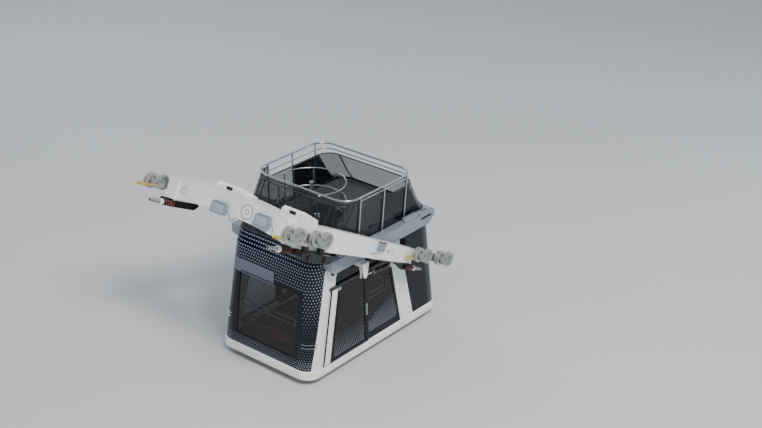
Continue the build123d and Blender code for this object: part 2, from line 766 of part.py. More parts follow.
# Fixed panes: one in each end and one in each side
with BuildPart() as end_panes:
    body_ring(BASE_TOP, WALL_TOP, PANE_INSET, PANE_INSET + PANE_THICK)
    end_window_prism(Mode.INTERSECT)
save(end_panes, "end_panes")
with BuildPart() as side_panes:
    body_ring(BASE_TOP, WALL_TOP, PANE_INSET, PANE_INSET + PANE_THICK)
    cross_prism(side_window_corners(), Mode.INTERSECT)
save(side_panes, "side_panes")


# Sliding doors: leaves that hang outside the wall, cut to the leg's slant, each with its glass
def door_outline(border, strip):
    """Corners of the door leaf, set in by a border and by a strip along the leg."""
    slant = (DOOR_HEAD_START - DOOR_FOOT_START) / (DOOR_HIGH - DOOR_LOW)
    return [
        (DOOR_FOOT_START + strip + slant * border, DOOR_LOW + border),
        (DOOR_END - border, DOOR_LOW + border),
        (DOOR_END - border, DOOR_HIGH - border),
        (DOOR_HEAD_START + strip - slant * border, DOOR_HIGH - border),
    ]


def door_slab(sign, out, thick, corners, mode=Mode.ADD):
    """Slab parallel to the side wall over a polygon, from out of the wall's face outwards."""
    with BuildSketch(side_plane(sign, out)) as outline:
        with BuildLine():
            Polyline(*corners, close=True)
        make_face()
    extrude(outline.sketch, amount=-sign * thick, mode=mode)


for side, sign in SIDES:
    with BuildPart() as leaf:
        door_slab(sign, DOOR_GAP, DOOR_THICK, door_outline(0, 0))
        window = door_outline(DOOR_BORDER, DOOR_LEG_STRIP)
        door_slab(sign, DOOR_GAP - 10, DOOR_THICK + 20, window, Mode.SUBTRACT)
    save(leaf, f"door_{side}")
    with BuildPart() as glass:
        door_slab(sign, DOOR_GAP + 12, PANE_THICK, window)
    save(glass, f"door_glass_{side}")

# Door rails: a channel above each door that the leaf hangs under
with BuildPart() as door_rails:
    for _, sign in SIDES:
        low, high = DOOR_RAIL_HEIGHTS
        first, last = DOOR_RAIL_SPAN
        door_slab(sign, LEG_PROUD, 56, [(first, low), (last, low), (last, high), (first, high)])
save(door_rails, "door_rails")

# Upper deck: ceiling and deck plate in one closed sandwich, with a round stairwell
CEILING_LOW = 2790
with BuildPart() as deck:
    body_block(CEILING_LOW, WALL_TOP, WALL_THICK + 2)
    body_block(WALL_TOP, DECK_TOP, 0)
    with Locations(cabin_point(STAIR_X, STAIR_Y, DECK_TOP)):
        Cylinder(WELL_RADIUS, 4 * (DECK_TOP - CEILING_LOW), mode=Mode.SUBTRACT)
save(deck, "deck")

# Parapet: leaning panes on the deck's edge, higher round the uphill end
PARAPET_INSET = 25
PARAPET_THICK = 18
HIGH_PANE_END = -810
with BuildPart() as parapet:
    body_ring(DECK_TOP, PANE_TOP, PARAPET_INSET, PARAPET_INSET + PARAPET_THICK)
    with Locations(cabin_point(HIGH_PANE_END + CABIN_LENGTH / 2, 0, PANEL_TOP + CABIN_WIDTH / 2)):
        Box(CABIN_LENGTH, 2 * CABIN_WIDTH, CABIN_WIDTH, mode=Mode.SUBTRACT)
save(parapet, "parapet")

# Deck rails: round top rail, a lower rail inside the panes, side posts and the guard of the stairwell
with BuildPart() as rails:
    tube_ring(RAIL_HEIGHT, RAIL_INSET, RAIL_RADIUS)
    tube_ring(LOW_RAIL_HEIGHT, LOW_RAIL_INSET, LOW_RAIL_RADIUS)
    for _, sign in SIDES:
        for x in POST_STATIONS:
            for z, gap in ((SHOULDER_TOP, 15), (RAIL_HEIGHT, -14)):
                y = sign * (outline_at(z)[1] + gap + POST_THICK / 2)
                with BuildSketch(Plane(cabin_point(x, y, z))):
                    Rectangle(POST_WIDTH, POST_THICK)
            loft(ruled=True)
            low_y = sign * (outline_at(LOW_RAIL_HEIGHT)[1] - LOW_RAIL_INSET / 2)
            with Locations(Location(cabin_point(x, low_y, LOW_RAIL_HEIGHT), (90, 0, 0))):
                Cylinder(LOW_RAIL_RADIUS / 2, 1.4 * LOW_RAIL_INSET)
    for z in GUARD_HEIGHTS:
        turn = radians(GUARD_START)
        spoke = Vector(cos(turn), sin(turn), 0)
        centre = cabin_point(STAIR_X, STAIR_Y, z)
        with BuildSketch(Plane(origin=centre, x_dir=spoke, z_dir=(sin(turn), -cos(turn), 0))):
            with Locations((GUARD_RADIUS, 0)):
                Circle(LOW_RAIL_RADIUS)
        revolve(axis=Axis(centre, (0, 0, 1)), revolution_arc=GUARD_ARC)
    for stand in range(GUARD_POSTS):
        turn = radians(GUARD_START + GUARD_ARC * stand / (GUARD_POSTS - 1))
        x, y = STAIR_X + GUARD_RADIUS * cos(turn), STAIR_Y + GUARD_RADIUS * sin(turn)
        with Locations(cabin_point(x, y, (DECK_TOP + GUARD_HEIGHTS[-1]) / 2)):
            Cylinder(LOW_RAIL_RADIUS + 3, GUARD_HEIGHTS[-1] - DECK_TOP)
save(rails, "deck_rails")

# Control desk at the uphill corner of the deck
DESK_PROFILE = ((-1350, 3100), (-1110, 3100), (-1110, 3880), (-1180, 3980), (-1330, 4010))
DESK_Y = -1060
DESK_WIDTH = 380
with BuildPart() as desk:
    with BuildSketch(upright_plane(DESK_Y)):
        with BuildLine():
            Polyline(*DESK_PROFILE, close=True)
        make_face()
    extrude(amount=-DESK_WIDTH)
save(desk, "control_desk")

# Spiral stair from the floor to the deck: wedge treads round a post
TREAD_PROFILE = ((40, -50), (740, -190), (740, 190), (40, 50))
with BuildPart() as stair:
    with Locations(cabin_point(STAIR_X, STAIR_Y, (FLOOR_TOP + GUARD_HEIGHTS[-1]) / 2)):
        Cylinder(STAIR_POST_RADIUS, GUARD_HEIGHTS[-1] - FLOOR_TOP)
    for step in range(STEP_COUNT):
        level = FLOOR_TOP + STEP_RISE * (step + 1)
        turn = radians(STEP_START + STEP_TURN * step)
        tread = Plane(cabin_point(STAIR_X, STAIR_Y, level - STEP_THICK), x_dir=(cos(turn), sin(turn), 0))
        with BuildSketch(tread):
            with BuildLine():
                Polyline(*TREAD_PROFILE, close=True)
            make_face()
        extrude(amount=STEP_THICK)
save(stair, "spiral_stair")

# Grab rails inside: two tubes round both ends, on posts, broken at the doorways
GRAB_END_POSTS = ((-1, 900), (-1, -900), (1, 900), (1, -900))
GRAB_SIDE_POSTS = (-300, 900)
with BuildPart() as grabs:
    for z in GRAB_HEIGHTS:
        tube_ring(z, GRAB_INSET, GRAB_RADIUS)
    with Locations(cabin_point((DOOR_FOOT_START + DOORWAY_END) / 2 + 60, 0, GRAB_HEIGHTS[0])):
        Box(DOORWAY_END - DOOR_FOOT_START - 60, CABIN_WIDTH, 600, mode=Mode.SUBTRACT)
    length, width = (reach - GRAB_INSET for reach in outline_at(GRAB_HEIGHTS[0])[:2])
    stands = [(end * length, y) for end, y in GRAB_END_POSTS]
    stands += [(x, sign * width) for x in GRAB_SIDE_POSTS for _, sign in SIDES]
    for x, y in stands:
        with Locations(cabin_point(x, y, (FLOOR_TOP + GRAB_HEIGHTS[1]) / 2)):
            Cylinder(GRAB_RADIUS, GRAB_HEIGHTS[1] - FLOOR_TOP)
save(grabs, "cabin_rails")
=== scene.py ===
"""Looks of a double-deck cable car cabin and its rope carriage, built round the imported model.

Lengths are metres unless a name says mm. The origin is midway between the two track ropes, on the line
of the cabin's pivots. +X is level and points down the line, +Y points across it and +Z is up. Cabin
measures start from the middle of the cabin's underside, rope measures from the origin down the rope.
"""
import json
import logging
from collections.abc import Callable, Sequence
from dataclasses import dataclass, field, replace
from enum import Enum
from math import ceil, cos, pi, radians, sin

import bmesh
import bpy
from mathutils import Matrix, Vector


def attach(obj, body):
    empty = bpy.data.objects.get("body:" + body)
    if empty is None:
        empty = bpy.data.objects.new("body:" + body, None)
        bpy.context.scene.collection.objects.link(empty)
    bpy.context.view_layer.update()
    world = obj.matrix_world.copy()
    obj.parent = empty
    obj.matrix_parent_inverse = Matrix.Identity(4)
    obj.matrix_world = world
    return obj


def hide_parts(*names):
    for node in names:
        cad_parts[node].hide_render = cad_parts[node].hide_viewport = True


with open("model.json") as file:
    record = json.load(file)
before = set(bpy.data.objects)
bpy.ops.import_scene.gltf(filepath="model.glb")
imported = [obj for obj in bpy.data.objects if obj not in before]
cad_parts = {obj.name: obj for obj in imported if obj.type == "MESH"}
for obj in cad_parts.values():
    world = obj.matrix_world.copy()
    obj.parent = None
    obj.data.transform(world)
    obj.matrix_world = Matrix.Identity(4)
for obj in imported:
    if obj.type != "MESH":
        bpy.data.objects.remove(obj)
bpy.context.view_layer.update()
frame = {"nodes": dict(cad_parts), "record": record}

log = logging.getLogger("cable_car")
MM = 0.001
IMAGE_WIDTH_PX = 762

# Bevels: the angle from which an edge has one, its spans and its fullness; the angle that is shaded sharp
BEVEL_ANGLE = radians(40)
BEVEL_SPANS = 2
BEVEL_PROFILE = 0.6
SHARP_ANGLE = radians(38)
# Reach over which the slope of the cabin's wall is read
SLOPE_REACH = 0.02

# Clouds of every finish: octaves and how strong the small ones are
CLOUD_OCTAVES = 5.0
CLOUD_ROUGHNESS = 0.6
# Values of a cloud between which the gloss changes, and between which dirt comes in
GLOSS_FROM, GLOSS_TO = 0.3, 0.7
DIRT_FROM, DIRT_TO = 0.5, 0.8
# Dirt is drawn out downwards, as rain leaves it
STREAK = (1.0, 1.0, 0.25)
# Depth of a bump as a share of its width, and the least roughness that a gloss may have
BUMP_DEPTH = 0.2
LEAST_ROUGHNESS = 0.01

# Bolts, as shares of the head's width: washer, head and the head's chamfer
WASHER_SHARE = 0.62
HEAD_SHARE = 0.5
CHAMFER_SHARE = 0.42
# Tops of the washer and of the head's straight sides, as shares of the whole height
WASHER_TOP = 0.15
HEAD_TOP = 0.9
# Width of the head and whole height of each size of bolt
ROCKER_BOLT = (0.016, 0.010)
WHEEL_STUD = (0.017, 0.010)
COVER_BOLT = (0.018, 0.010)
FLANGE_BOLT = (0.018, 0.012)
HANGER_BOLT = (0.020, 0.008)
BRAKE_BOLT = (0.024, 0.012)
LEG_HEAD_BOLT = (0.026, 0.014)
CLAMP_BOLT = (0.030, 0.018)

# Places shared by the sub-assemblies
SLOPE = radians(26.0)
ALONG = Vector((cos(SLOPE), 0, -sin(SLOPE)))
SQUARE = Vector((sin(SLOPE), 0, cos(SLOPE)))
DOWNHILL = Vector((1, 0, 0))
ACROSS = Vector((0, 1, 0))
UPWARD = Vector((0, 0, 1))
CABIN_X = 1.110
CABIN_BASE = -3.130
TRACK_HALF = 2.145
GIRDER_INNER = 1.690
GIRDER_OUTER = 1.990
AXLE_RISE = 0.180
GROUP_OFFSET = 2.655
WHEEL_STATIONS = (-0.707, -0.304, 0.304, 0.707)
SIDES = (("near", -1), ("far", 1))
ENDS = (("up", -1), ("down", 1))
DECK_TOP = 3.100
PANEL_TOP = 3.970
PANE_TOP = 4.240
STAIR_CENTRE = (-0.450, 0.330)
WALL_LEAN = 0.06027
WALL_FOOT_HALF = 1.5

# A distance along the cabin's wall that changes with height
WallDistance = Callable[[float], float]
# Points or rows of two measures, such as an outline, a section or a turned profile
Rows = Sequence[tuple[float, float]]


class Slot(Enum):
    """Material slots of the record, by what is made of them."""

    WHITE = "white_paint"
    BLACK = "black_paint"
    FRAME = "dark_frame"
    LAMP = "lamp_grey"
    GALVANISED = "galvanised"
    WHEEL = "wheel_alloy"
    TUBE = "steel_tube"
    BRONZE = "guide_bronze"
    FLOOR = "floor_cover"
    GLAZING = "dark_glazing"
    GLASS = "tinted_glass"


def linear(hex_colour: str) -> tuple[float, float, float, float]:
    """Turn an sRGB hex colour into linear RGBA.

    Args:
        hex_colour: Six hex digits, with or without a leading hash.

    Returns:
        The linear colour with full alpha.
    """
    digits = hex_colour.lstrip("#")
    channels = [int(digits[start:start + 2], 16) / 255 for start in (0, 2, 4)]
    curved = [c / 12.92 if c <= 0.04045 else ((c + 0.055) / 1.055) ** 2.4 for c in channels]
    return (*curved, 1.0)


def add_node(
    tree: bpy.types.NodeTree, kind: str, settings: dict | None = None, links: dict | None = None
) -> bpy.types.Node:
    """Add one shader node.

    Args:
        tree: The material's node tree.
        kind: Blender's name for the node type.
        settings: Values by property name, or by input name or number.
        links: Output sockets by the input name or number that they feed.

    Returns:
        The new node.
    """
    node = tree.nodes.new(kind)
    for name, value in (settings or {}).items():
        if isinstance(name, str) and hasattr(node, name):
            setattr(node, name, value)
        else:
            node.inputs[name].default_value = value
    for name, socket in (links or {}).items():
        tree.links.new(socket, node.inputs[name])
    return node


@dataclass(frozen=True)
class Finish:
    """A real material: what it is made of, how its surface was made, and the values that show it.

    Above split_z, where it is given, the colour changes to a painted shade.
    """

    name: str
    slot: Slot
    light: str
    dark: str
    roughness: float
    metallic: float = 0.0
    coat: float = 0.0
    coat_roughness: float = 0.1
    pattern_mm: float = 300.0
    bump: float = 0.0
    bump_mm: float = 3.0
    spread: float = 0.06
    grime: float = 0.0
    grime_mm: float = 900.0
    grime_colour: str = "#6f6a60"
    split_z: float | None = None
    painted_shade_colour: str = ""
    alpha: float = 1.0
    specular: float = 0.5
    glow: float = 0.0

    def make(self) -> bpy.types.Material:
        """Build the material once and return it."""
        found = bpy.data.materials.get(self.name)
        if found:
            return found
        material = bpy.data.materials.new(self.name)
        material.use_nodes = True
        self.dress(material.node_tree)
        return material

    def noise(
        self, tree: bpy.types.NodeTree, place: bpy.types.NodeSocket, size_mm: float
    ) -> bpy.types.NodeSocket:
        """Add a cloud whose lumps are about size_mm wide.

        Args:
            tree: The material's node tree.
            place: The coordinates it is laid out in.
            size_mm: Width of a lump in millimetres.

        Returns:
            The cloud's value, from 0 to 1.
        """
        settings = {"Scale": 1 / (size_mm * MM), "Detail": CLOUD_OCTAVES, "Roughness": CLOUD_ROUGHNESS}
        return add_node(tree, "ShaderNodeTexNoise", settings, {"Vector": place}).outputs["Fac"]

    def dress(self, tree: bpy.types.NodeTree) -> None:
        """Give the shader a mottled colour, grime, an uneven gloss and a fine bump.

        Args:
            tree: The node tree of a new material, with its Principled BSDF.
        """
        shader = tree.nodes["Principled BSDF"]
        fixed = {"Metallic": self.metallic, "Coat Weight": self.coat, "Coat Roughness": self.coat_roughness,
                 "Specular IOR Level": self.specular, "Alpha": self.alpha, "Emission Strength": self.glow}
        if self.glow:
            fixed["Emission Color"] = linear(self.light)
        for name, value in fixed.items():
            shader.inputs[name].default_value = value
        place = add_node(tree, "ShaderNodeTexCoord").outputs["Object"]
        cloud = self.noise(tree, place, self.pattern_mm)
        colour = add_node(
            tree, "ShaderNodeMix",
            {"data_type": "RGBA", 6: linear(self.dark), 7: linear(self.light)}, {0: cloud},
        ).outputs[2]
        # Painted shade: above split_z the colour changes to the shade colour
        if self.split_z is not None:
            height = add_node(tree, "ShaderNodeSeparateXYZ", links={0: place}).outputs["Z"]
            above = add_node(
                tree, "ShaderNodeMath", {"operation": "GREATER_THAN", 1: self.split_z}, {0: height}
            ).outputs[0]
            colour = add_node(
                tree, "ShaderNodeMix", {"data_type": "RGBA", 7: linear(self.painted_shade_colour)}, {0: above, 6: colour}
            ).outputs[2]
        if self.grime:
            stretch = add_node(
                tree, "ShaderNodeMapping", {"vector_type": "POINT", "Scale": STREAK}, {"Vector": place}
            ).outputs["Vector"]
            dirt = add_node(
                tree, "ShaderNodeMapRange", {"From Min": DIRT_FROM, "From Max": DIRT_TO, "To Max": self.grime},
                {"Value": self.noise(tree, stretch, self.grime_mm)},
            ).outputs["Result"]
            colour = add_node(
                tree, "ShaderNodeMix", {"data_type": "RGBA", 7: linear(self.grime_colour)}, {0: dirt, 6: colour}
            ).outputs[2]
        tree.links.new(colour, shader.inputs["Base Color"])
        gloss = add_node(
            tree, "ShaderNodeMapRange",
            {"From Min": GLOSS_FROM, "From Max": GLOSS_TO,
             "To Min": max(self.roughness - self.spread, LEAST_ROUGHNESS),
             "To Max": self.roughness + self.spread},
            {"Value": cloud},
        )
        tree.links.new(gloss.outputs["Result"], shader.inputs["Roughness"])
        if self.bump:
            relief = add_node(
                tree, "ShaderNodeBump", {"Strength": self.bump, "Distance": self.bump_mm * MM * BUMP_DEPTH},
                {"Height": self.noise(tree, place, self.bump_mm)},
            )
            tree.links.new(relief.outputs["Normal"], shader.inputs["Normal"])


# Sprayed two-pack enamel over primed steel: bright, glossy, with faint rain streaks
WHITE_ENAMEL = Finish("polyurethane_enamel_white", Slot.WHITE, "#f4f5f4", "#e6e8e8", 0.26, coat=0.35,
                      grime=0.16, bump=0.05, bump_mm=60.0)
# The side frames are white enamel; above the cabin's lower wall their beams are blue grey, a painted shade
FRAME_ENAMEL_AND_PAINTED_SHADE = Finish("polyurethane_enamel_white_painted_shade", Slot.WHITE, "#f0f2f2", "#e2e5e6", 0.30, coat=0.3,
                      grime=0.10, split_z=CABIN_BASE + 2.715, painted_shade_colour="#7d8896")
# Blue-grey enamel, the colour of the painted shade on those beams, for covers that stand on them
GREY_ENAMEL = Finish("polyurethane_enamel_blue_grey", Slot.WHITE, "#8b96a3", "#7a8592", 0.36, coat=0.2)
# Brushed satin paint on castings and chassis plates: black with a broad dull highlight
BLACK_PAINT = Finish("satin_paint_black", Slot.BLACK, "#1b1c1e", "#0f1012", 0.45, bump=0.15, bump_mm=12.0)
# Baked powder coat on posts and window frames: fine orange peel
FRAME_COAT = Finish("powder_coat_anthracite", Slot.FRAME, "#2b2e32", "#202327", 0.48, bump=0.25, bump_mm=6.0)
# Baked powder coat on the lamp housings: even, with a faint orange peel
LAMP_COAT = Finish("powder_coat_light_blue_grey", Slot.LAMP, "#8895a3", "#76838f", 0.4, bump=0.15, bump_mm=6.0)
# Moulded polycarbonate over the lamps: pale, with a hard small highlight
LAMP_GLASS = Finish("polycarbonate_lamp_glass", Slot.LAMP, "#b9c7d6", "#a3b3c4", 0.12, coat=0.6,
                    pattern_mm=25.0)
# Hot dip galvanised steel: dull zinc with spangles about 30 mm wide
GALVANISED = Finish("hot_dip_galvanised_steel", Slot.GALVANISED, "#b3b7b8", "#8b9092", 0.42, metallic=0.75,
                    pattern_mm=30.0, grime=0.3, grime_mm=160.0, grime_colour="#3d3c3a")
# Sand-cast aluminium wheels, greasy near the hub
WHEEL_ALLOY = Finish("cast_aluminium", Slot.WHEEL, "#bcc0be", "#8f9493", 0.45, metallic=0.6, pattern_mm=45.0,
                     grime=0.45, grime_mm=120.0, grime_colour="#34332f", bump=0.2, bump_mm=5.0)
# Cast polyurethane liner in the wheel's groove: dull black, no highlight
LINER = Finish("polyurethane_liner_black", Slot.WHEEL, "#242527", "#17181a", 0.6)
# Brushed stainless tube: a bright metal line whose highlight is a little soft
TUBE_STEEL = Finish("brushed_stainless_steel", Slot.TUBE, "#c3c7c9", "#a6abae", 0.27, metallic=1.0,
                    pattern_mm=20.0)
# Zinc plated bolts: grey metal, cloudy from hand to hand
BOLT_ZINC = Finish("zinc_plated_steel", Slot.GALVANISED, "#a9acab", "#77797a", 0.38, metallic=0.85,
                   pattern_mm=12.0)
# Cast bronze: brown metal, worn bright in patches
BRONZE = Finish("cast_bronze", Slot.BRONZE, "#b39a63", "#83703f", 0.4, metallic=0.8, pattern_mm=50.0)
# Cast polyurethane buffer rings: chalky oxide red
BUFFER_RED = Finish("polyurethane_buffer_red", Slot.GALVANISED, "#b4594f", "#8e3f38", 0.5, pattern_mm=70.0)
# Studded rubber floor, walked grey
FLOOR_RUBBER = Finish("rubber_floor_cover", Slot.FLOOR, "#45494d", "#33363a", 0.7, grime=0.3, grime_mm=500.0,
                      grime_colour="#5d5e5c", bump=0.6, bump_mm=14.0)
# Toughened glass with black ceramic printed on its back
DARK_GLAZING = Finish("printed_dark_glass", Slot.GLAZING, "#0c111e", "#070a12", 0.08, specular=0.28,
                      spread=0.03)
# Ceramic frit dots, pale blue where they mirror the sky
FRIT_PALE = Finish("ceramic_frit_pale", Slot.GLAZING, "#b4c4e6", "#93a5cf", 0.35, pattern_mm=900.0)
# The same frit on glass with air behind it looks grey
FRIT_GREY = Finish("ceramic_frit_grey", Slot.GLAZING, "#98a2b3", "#7d879b", 0.4, pattern_mm=900.0)
# Extruded EPDM glazing seal and cable sheath: near black, without gloss
SEAL = Finish("epdm_rubber_seal", Slot.FRAME, "#16171a", "#0e0f11", 0.65)
# Toughened float glass, tinted in the melt: it shows the room behind it, darkened, and the sky
TINTED_GLASS = Finish("tinted_float_glass", Slot.GLASS, "#12161b", "#0c1014", 0.03, spread=0.01, alpha=0.42,
                      specular=0.6, pattern_mm=900.0)
# Extruded opal acrylic light covers: an even milky glow
LIGHT_COVER = Finish("opal_acrylic", Slot.GLASS, "#f3f1ea", "#e9e6de", 0.4, glow=2.5)
# Varnished hardwood: red brown under a clear gloss, light and dark by the board
VARNISHED_WOOD = Finish("varnished_hardwood", Slot.FRAME, "#7a3a26", "#54261a", 0.3, coat=0.4, pattern_mm=60.0)
# Sprayed signal enamel: warm yellow, dirty where the rope runs
YELLOW_ENAMEL = Finish("enamel_signal_yellow", Slot.BRONZE, "#c9ad58", "#a58c40", 0.4, grime=0.3, grime_mm=80.0)

NODE_FINISHES = {
    finish.slot.value: finish
    for finish in (WHITE_ENAMEL, BLACK_PAINT, FRAME_COAT, LAMP_COAT, GALVANISED, WHEEL_ALLOY, TUBE_STEEL,
                   BRONZE, FLOOR_RUBBER, DARK_GLAZING, TINTED_GLASS)
}
OWN_FINISHES = {"side_frame_near": FRAME_ENAMEL_AND_PAINTED_SHADE, "side_frame_far": FRAME_ENAMEL_AND_PAINTED_SHADE, "parapet": TINTED_GLASS,
                "deck": DARK_GLAZING, "rope_guides": YELLOW_ENAMEL}


def dress_nodes() -> None:
    """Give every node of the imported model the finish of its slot, or its own."""
    for part in frame["record"]["subparts"]:
        node = frame["nodes"][part["node"]]
        finish = OWN_FINISHES.get(part["node"]) or NODE_FINISHES[part["material_slot"]]
        node.data.materials.clear()
        node.data.materials.append(finish.make())
    log.info("%d nodes dressed", len(frame["nodes"]))


def cabin_point(x: float, y: float, z: float) -> Vector:
    """Point in cabin measures."""
    return Vector((CABIN_X + x, y, CABIN_BASE + z))


def rope_point(along: float, rise: float, y: float) -> Vector:
    """Point at a distance down the rope, a rise square to it and a place across the line."""
    return ALONG * along + SQUARE * rise + Vector((0, y, 0))


@dataclass(frozen=True)
class Place:
    """A local frame: an origin and three directions."""

    origin: Vector
    right: Vector
    up: Vector
    out: Vector

    def at(self, x: float, y: float, z: float = 0.0) -> Vector:
        """Point at local coordinates."""
        return self.origin + self.right * x + self.up * y + self.out * z

    def moved(self, x: float, y: float, z: float = 0.0) -> "Place":
        """Same frame with its origin at local coordinates."""
        return replace(self, origin=self.at(x, y, z))


def rope_side(along: float, rise: float, y: float, sign: int) -> Place:
    """Frame on a face of a girder: right down the rope, up square to it, out away from the middle."""
    return Place(rope_point(along, rise, y), ALONG, SQUARE, ACROSS * sign)


def rope_front(along: float, rise: float, y: float) -> Place:
    """Frame on a face that looks uphill: right to the far side, up square to the rope."""
    return Place(rope_point(along, rise, y), ACROSS, SQUARE, -ALONG)


def level_side(x: float, y: float, z: float, sign: int) -> Place:
    """Frame on an upright face of the cabin's side, in cabin measures."""
    return Place(cabin_point(x, y, z), DOWNHILL, UPWARD, ACROSS * sign)


def rounded(width: float, height: float, corner: float, steps: int = 5) -> list[tuple[float, float]]:
    """Corners of a rounded rectangle about the middle.

    Args:
        width: Its whole width.
        height: Its whole height.
        corner: Radius of its corners.
        steps: Spans in each corner's arc.

    Returns:
        The outline, anticlockwise.
    """
    points = []
    for quarter, (sx, sy) in enumerate(((1, 1), (-1, 1), (-1, -1), (1, -1))):
        for step in range(steps + 1):
            turn = pi / 2 * (quarter + step / steps)
            points.append((sx * (width / 2 - corner) + corner * cos(turn),
                           sy * (height / 2 - corner) + corner * sin(turn)))
    return points


def circle(radius: float, sides: int) -> list[tuple[float, float]]:
    """Corners of a regular polygon about the middle."""
    return [(radius * cos(2 * pi * k / sides), radius * sin(2 * pi * k / sides)) for k in range(sides)]


@dataclass
class Shape:
    """Points and faces of one piece while it is built."""

    points: list[Vector] = field(default_factory=list)
    faces: list[tuple[int, ...]] = field(default_factory=list)

    def add(self, points: list[Vector], faces: list[tuple[int, ...]]) -> None:
        """Add points and faces.

        Args:
            points: The new points.
            faces: The new faces, whose corners count from the first new point.
        """
        start = len(self.points)
        self.points += points
        self.faces += [tuple(start + corner for corner in face) for face in faces]

    def loft(self, rings: list[list[Vector]], closed: bool = False) -> None:
        """Join rings of points into a skin.

        Args:
            rings: Rings of equal count, in order.
            closed: Whether the last ring joins the first; if not, both get an end face.
        """
        count, rows = len(rings[0]), len(rings)
        faces = []
        for row in range(rows if closed else rows - 1):
            low, high = row * count, (row + 1) % rows * count
            for k in range(count):
                after = (k + 1) % count
                faces.append((low + k, low + after, high + after, high + k))
        if not closed:
            faces += [tuple(reversed(range(count))), tuple(range((rows - 1) * count, rows * count))]
        self.add([point for ring in rings for point in ring], faces)

    def prism(self, corners: Rows, place: Place, low: float, high: float) -> None:
        """Add a prism over corners, between two depths of a place."""
        self.loft([[place.at(x, y, depth) for x, y in corners] for depth in (low, high)])

    def box(self, place: Place, width: float, height: float, depth: float, corner: float = 0.004) -> None:
        """Add a box with rounded upright edges, standing on a place."""
        self.prism(rounded(width, height, corner, 2), place, 0.0, depth)

    def turned(self, place: Place, profile: Rows, sides: int = 24) -> None:
        """Add a shape turned about a place's out axis.

        Args:
            place: Where it stands.
            profile: Rows of depth and radius.
            sides: Spans round the axis.
        """
        rings = []
        for depth, radius in profile:
            rings.append([place.at(x, y, depth) for x, y in circle(radius, sides)])
        self.loft(rings)

    def ring(self, place: Place, outer: float, inner: float, depth: float, sides: int = 32) -> None:
        """Add a flat ring standing on a place.

        Args:
            place: Its middle, with out as its axis.
            outer: Outer radius.
            inner: Inner radius.
            depth: How far it stands out.
            sides: Spans round the axis.
        """
        section = ((outer, 0.0), (outer, depth), (inner, depth), (inner, 0.0))
        rings = []
        for k in range(sides):
            turn = 2 * pi * k / sides
            rings.append([place.at(radius * cos(turn), radius * sin(turn), z) for radius, z in section])
        self.loft(rings, closed=True)

    def tube(self, path: list[Vector], radius: float, sides: int = 10, closed: bool = False) -> None:
        """Add a round tube along a path, square to it at every point.

        Args:
            path: Points of its centre line.
            radius: Radius of the tube.
            sides: Spans round the tube.
            closed: Whether the path returns to its first point.
        """
        count = len(path)
        rings, side = [], None
        for k, point in enumerate(path):
            before = path[(k - 1) % count] if closed or k else point
            after = path[(k + 1) % count] if closed or k < count - 1 else point
            ahead = (after - before).normalized()
            if side is None:
                side = ahead.orthogonal().normalized()
            side = (side - ahead * side.dot(ahead)).normalized()
            up = ahead.cross(side)
            rings.append([point + (side * cos(2 * pi * j / sides) + up * sin(2 * pi * j / sides)) * radius
                          for j in range(sides)])
        self.loft(rings, closed)

    def dot(self, place: Place, radius: float, sides: int = 8, depth: float = 0.0012) -> None:
        """Add one printed dot: a very thin disc on a place."""
        self.prism(circle(radius, sides), place, 0.0, depth)

    def bolts(self, place: Place, spots: Rows, across: float, depth: float) -> None:
        """Add hexagon bolt heads, each on a washer.

        Args:
            place: The face that they stand on.
            spots: Their middles on the face.
            across: Width of a head.
            depth: Height of head and washer.
        """
        for x, y in spots:
            seat = place.moved(x, y)
            washer = [(0, WASHER_SHARE * across), (WASHER_TOP * depth, WASHER_SHARE * across)]
            head = [(WASHER_TOP * depth, HEAD_SHARE * across), (HEAD_TOP * depth, HEAD_SHARE * across),
                    (depth, CHAMFER_SHARE * across)]
            self.turned(seat, washer, 12)
            self.turned(seat, head, 6)

    def build(self, name: str, body: str, finish: Finish, bevel: float = 0.0,
              stands_for: tuple[str, ...] = ()) -> bpy.types.Object:
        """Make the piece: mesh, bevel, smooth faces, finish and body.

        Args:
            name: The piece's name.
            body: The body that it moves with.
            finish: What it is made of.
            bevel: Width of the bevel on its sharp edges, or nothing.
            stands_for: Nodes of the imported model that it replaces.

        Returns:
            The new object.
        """
        mesh = bpy.data.meshes.new(name)
        mesh.from_pydata([tuple(point) for point in self.points], [], self.faces)
        work = bmesh.new()
        work.from_mesh(mesh)
        bmesh.ops.recalc_face_normals(work, faces=work.faces)
        if bevel:
            sharp = [edge for edge in work.edges if edge.is_manifold and edge.calc_face_angle(0) > BEVEL_ANGLE]
            bmesh.ops.bevel(work, geom=sharp, offset=bevel, segments=BEVEL_SPANS, profile=BEVEL_PROFILE,
                            affect="EDGES", clamp_overlap=True)
        work.to_mesh(mesh)
        work.free()
        mesh.shade_smooth()
        mesh.set_sharp_from_angle(angle=SHARP_ANGLE)
        mesh.materials.append(finish.make())
        piece = bpy.data.objects.new(name, mesh)
        bpy.context.scene.collection.objects.link(piece)
        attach(piece, body)
        if stands_for:
            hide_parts(*stands_for)
        log.info("%s: %d faces on %s", name, len(mesh.polygons), body)
        return piece


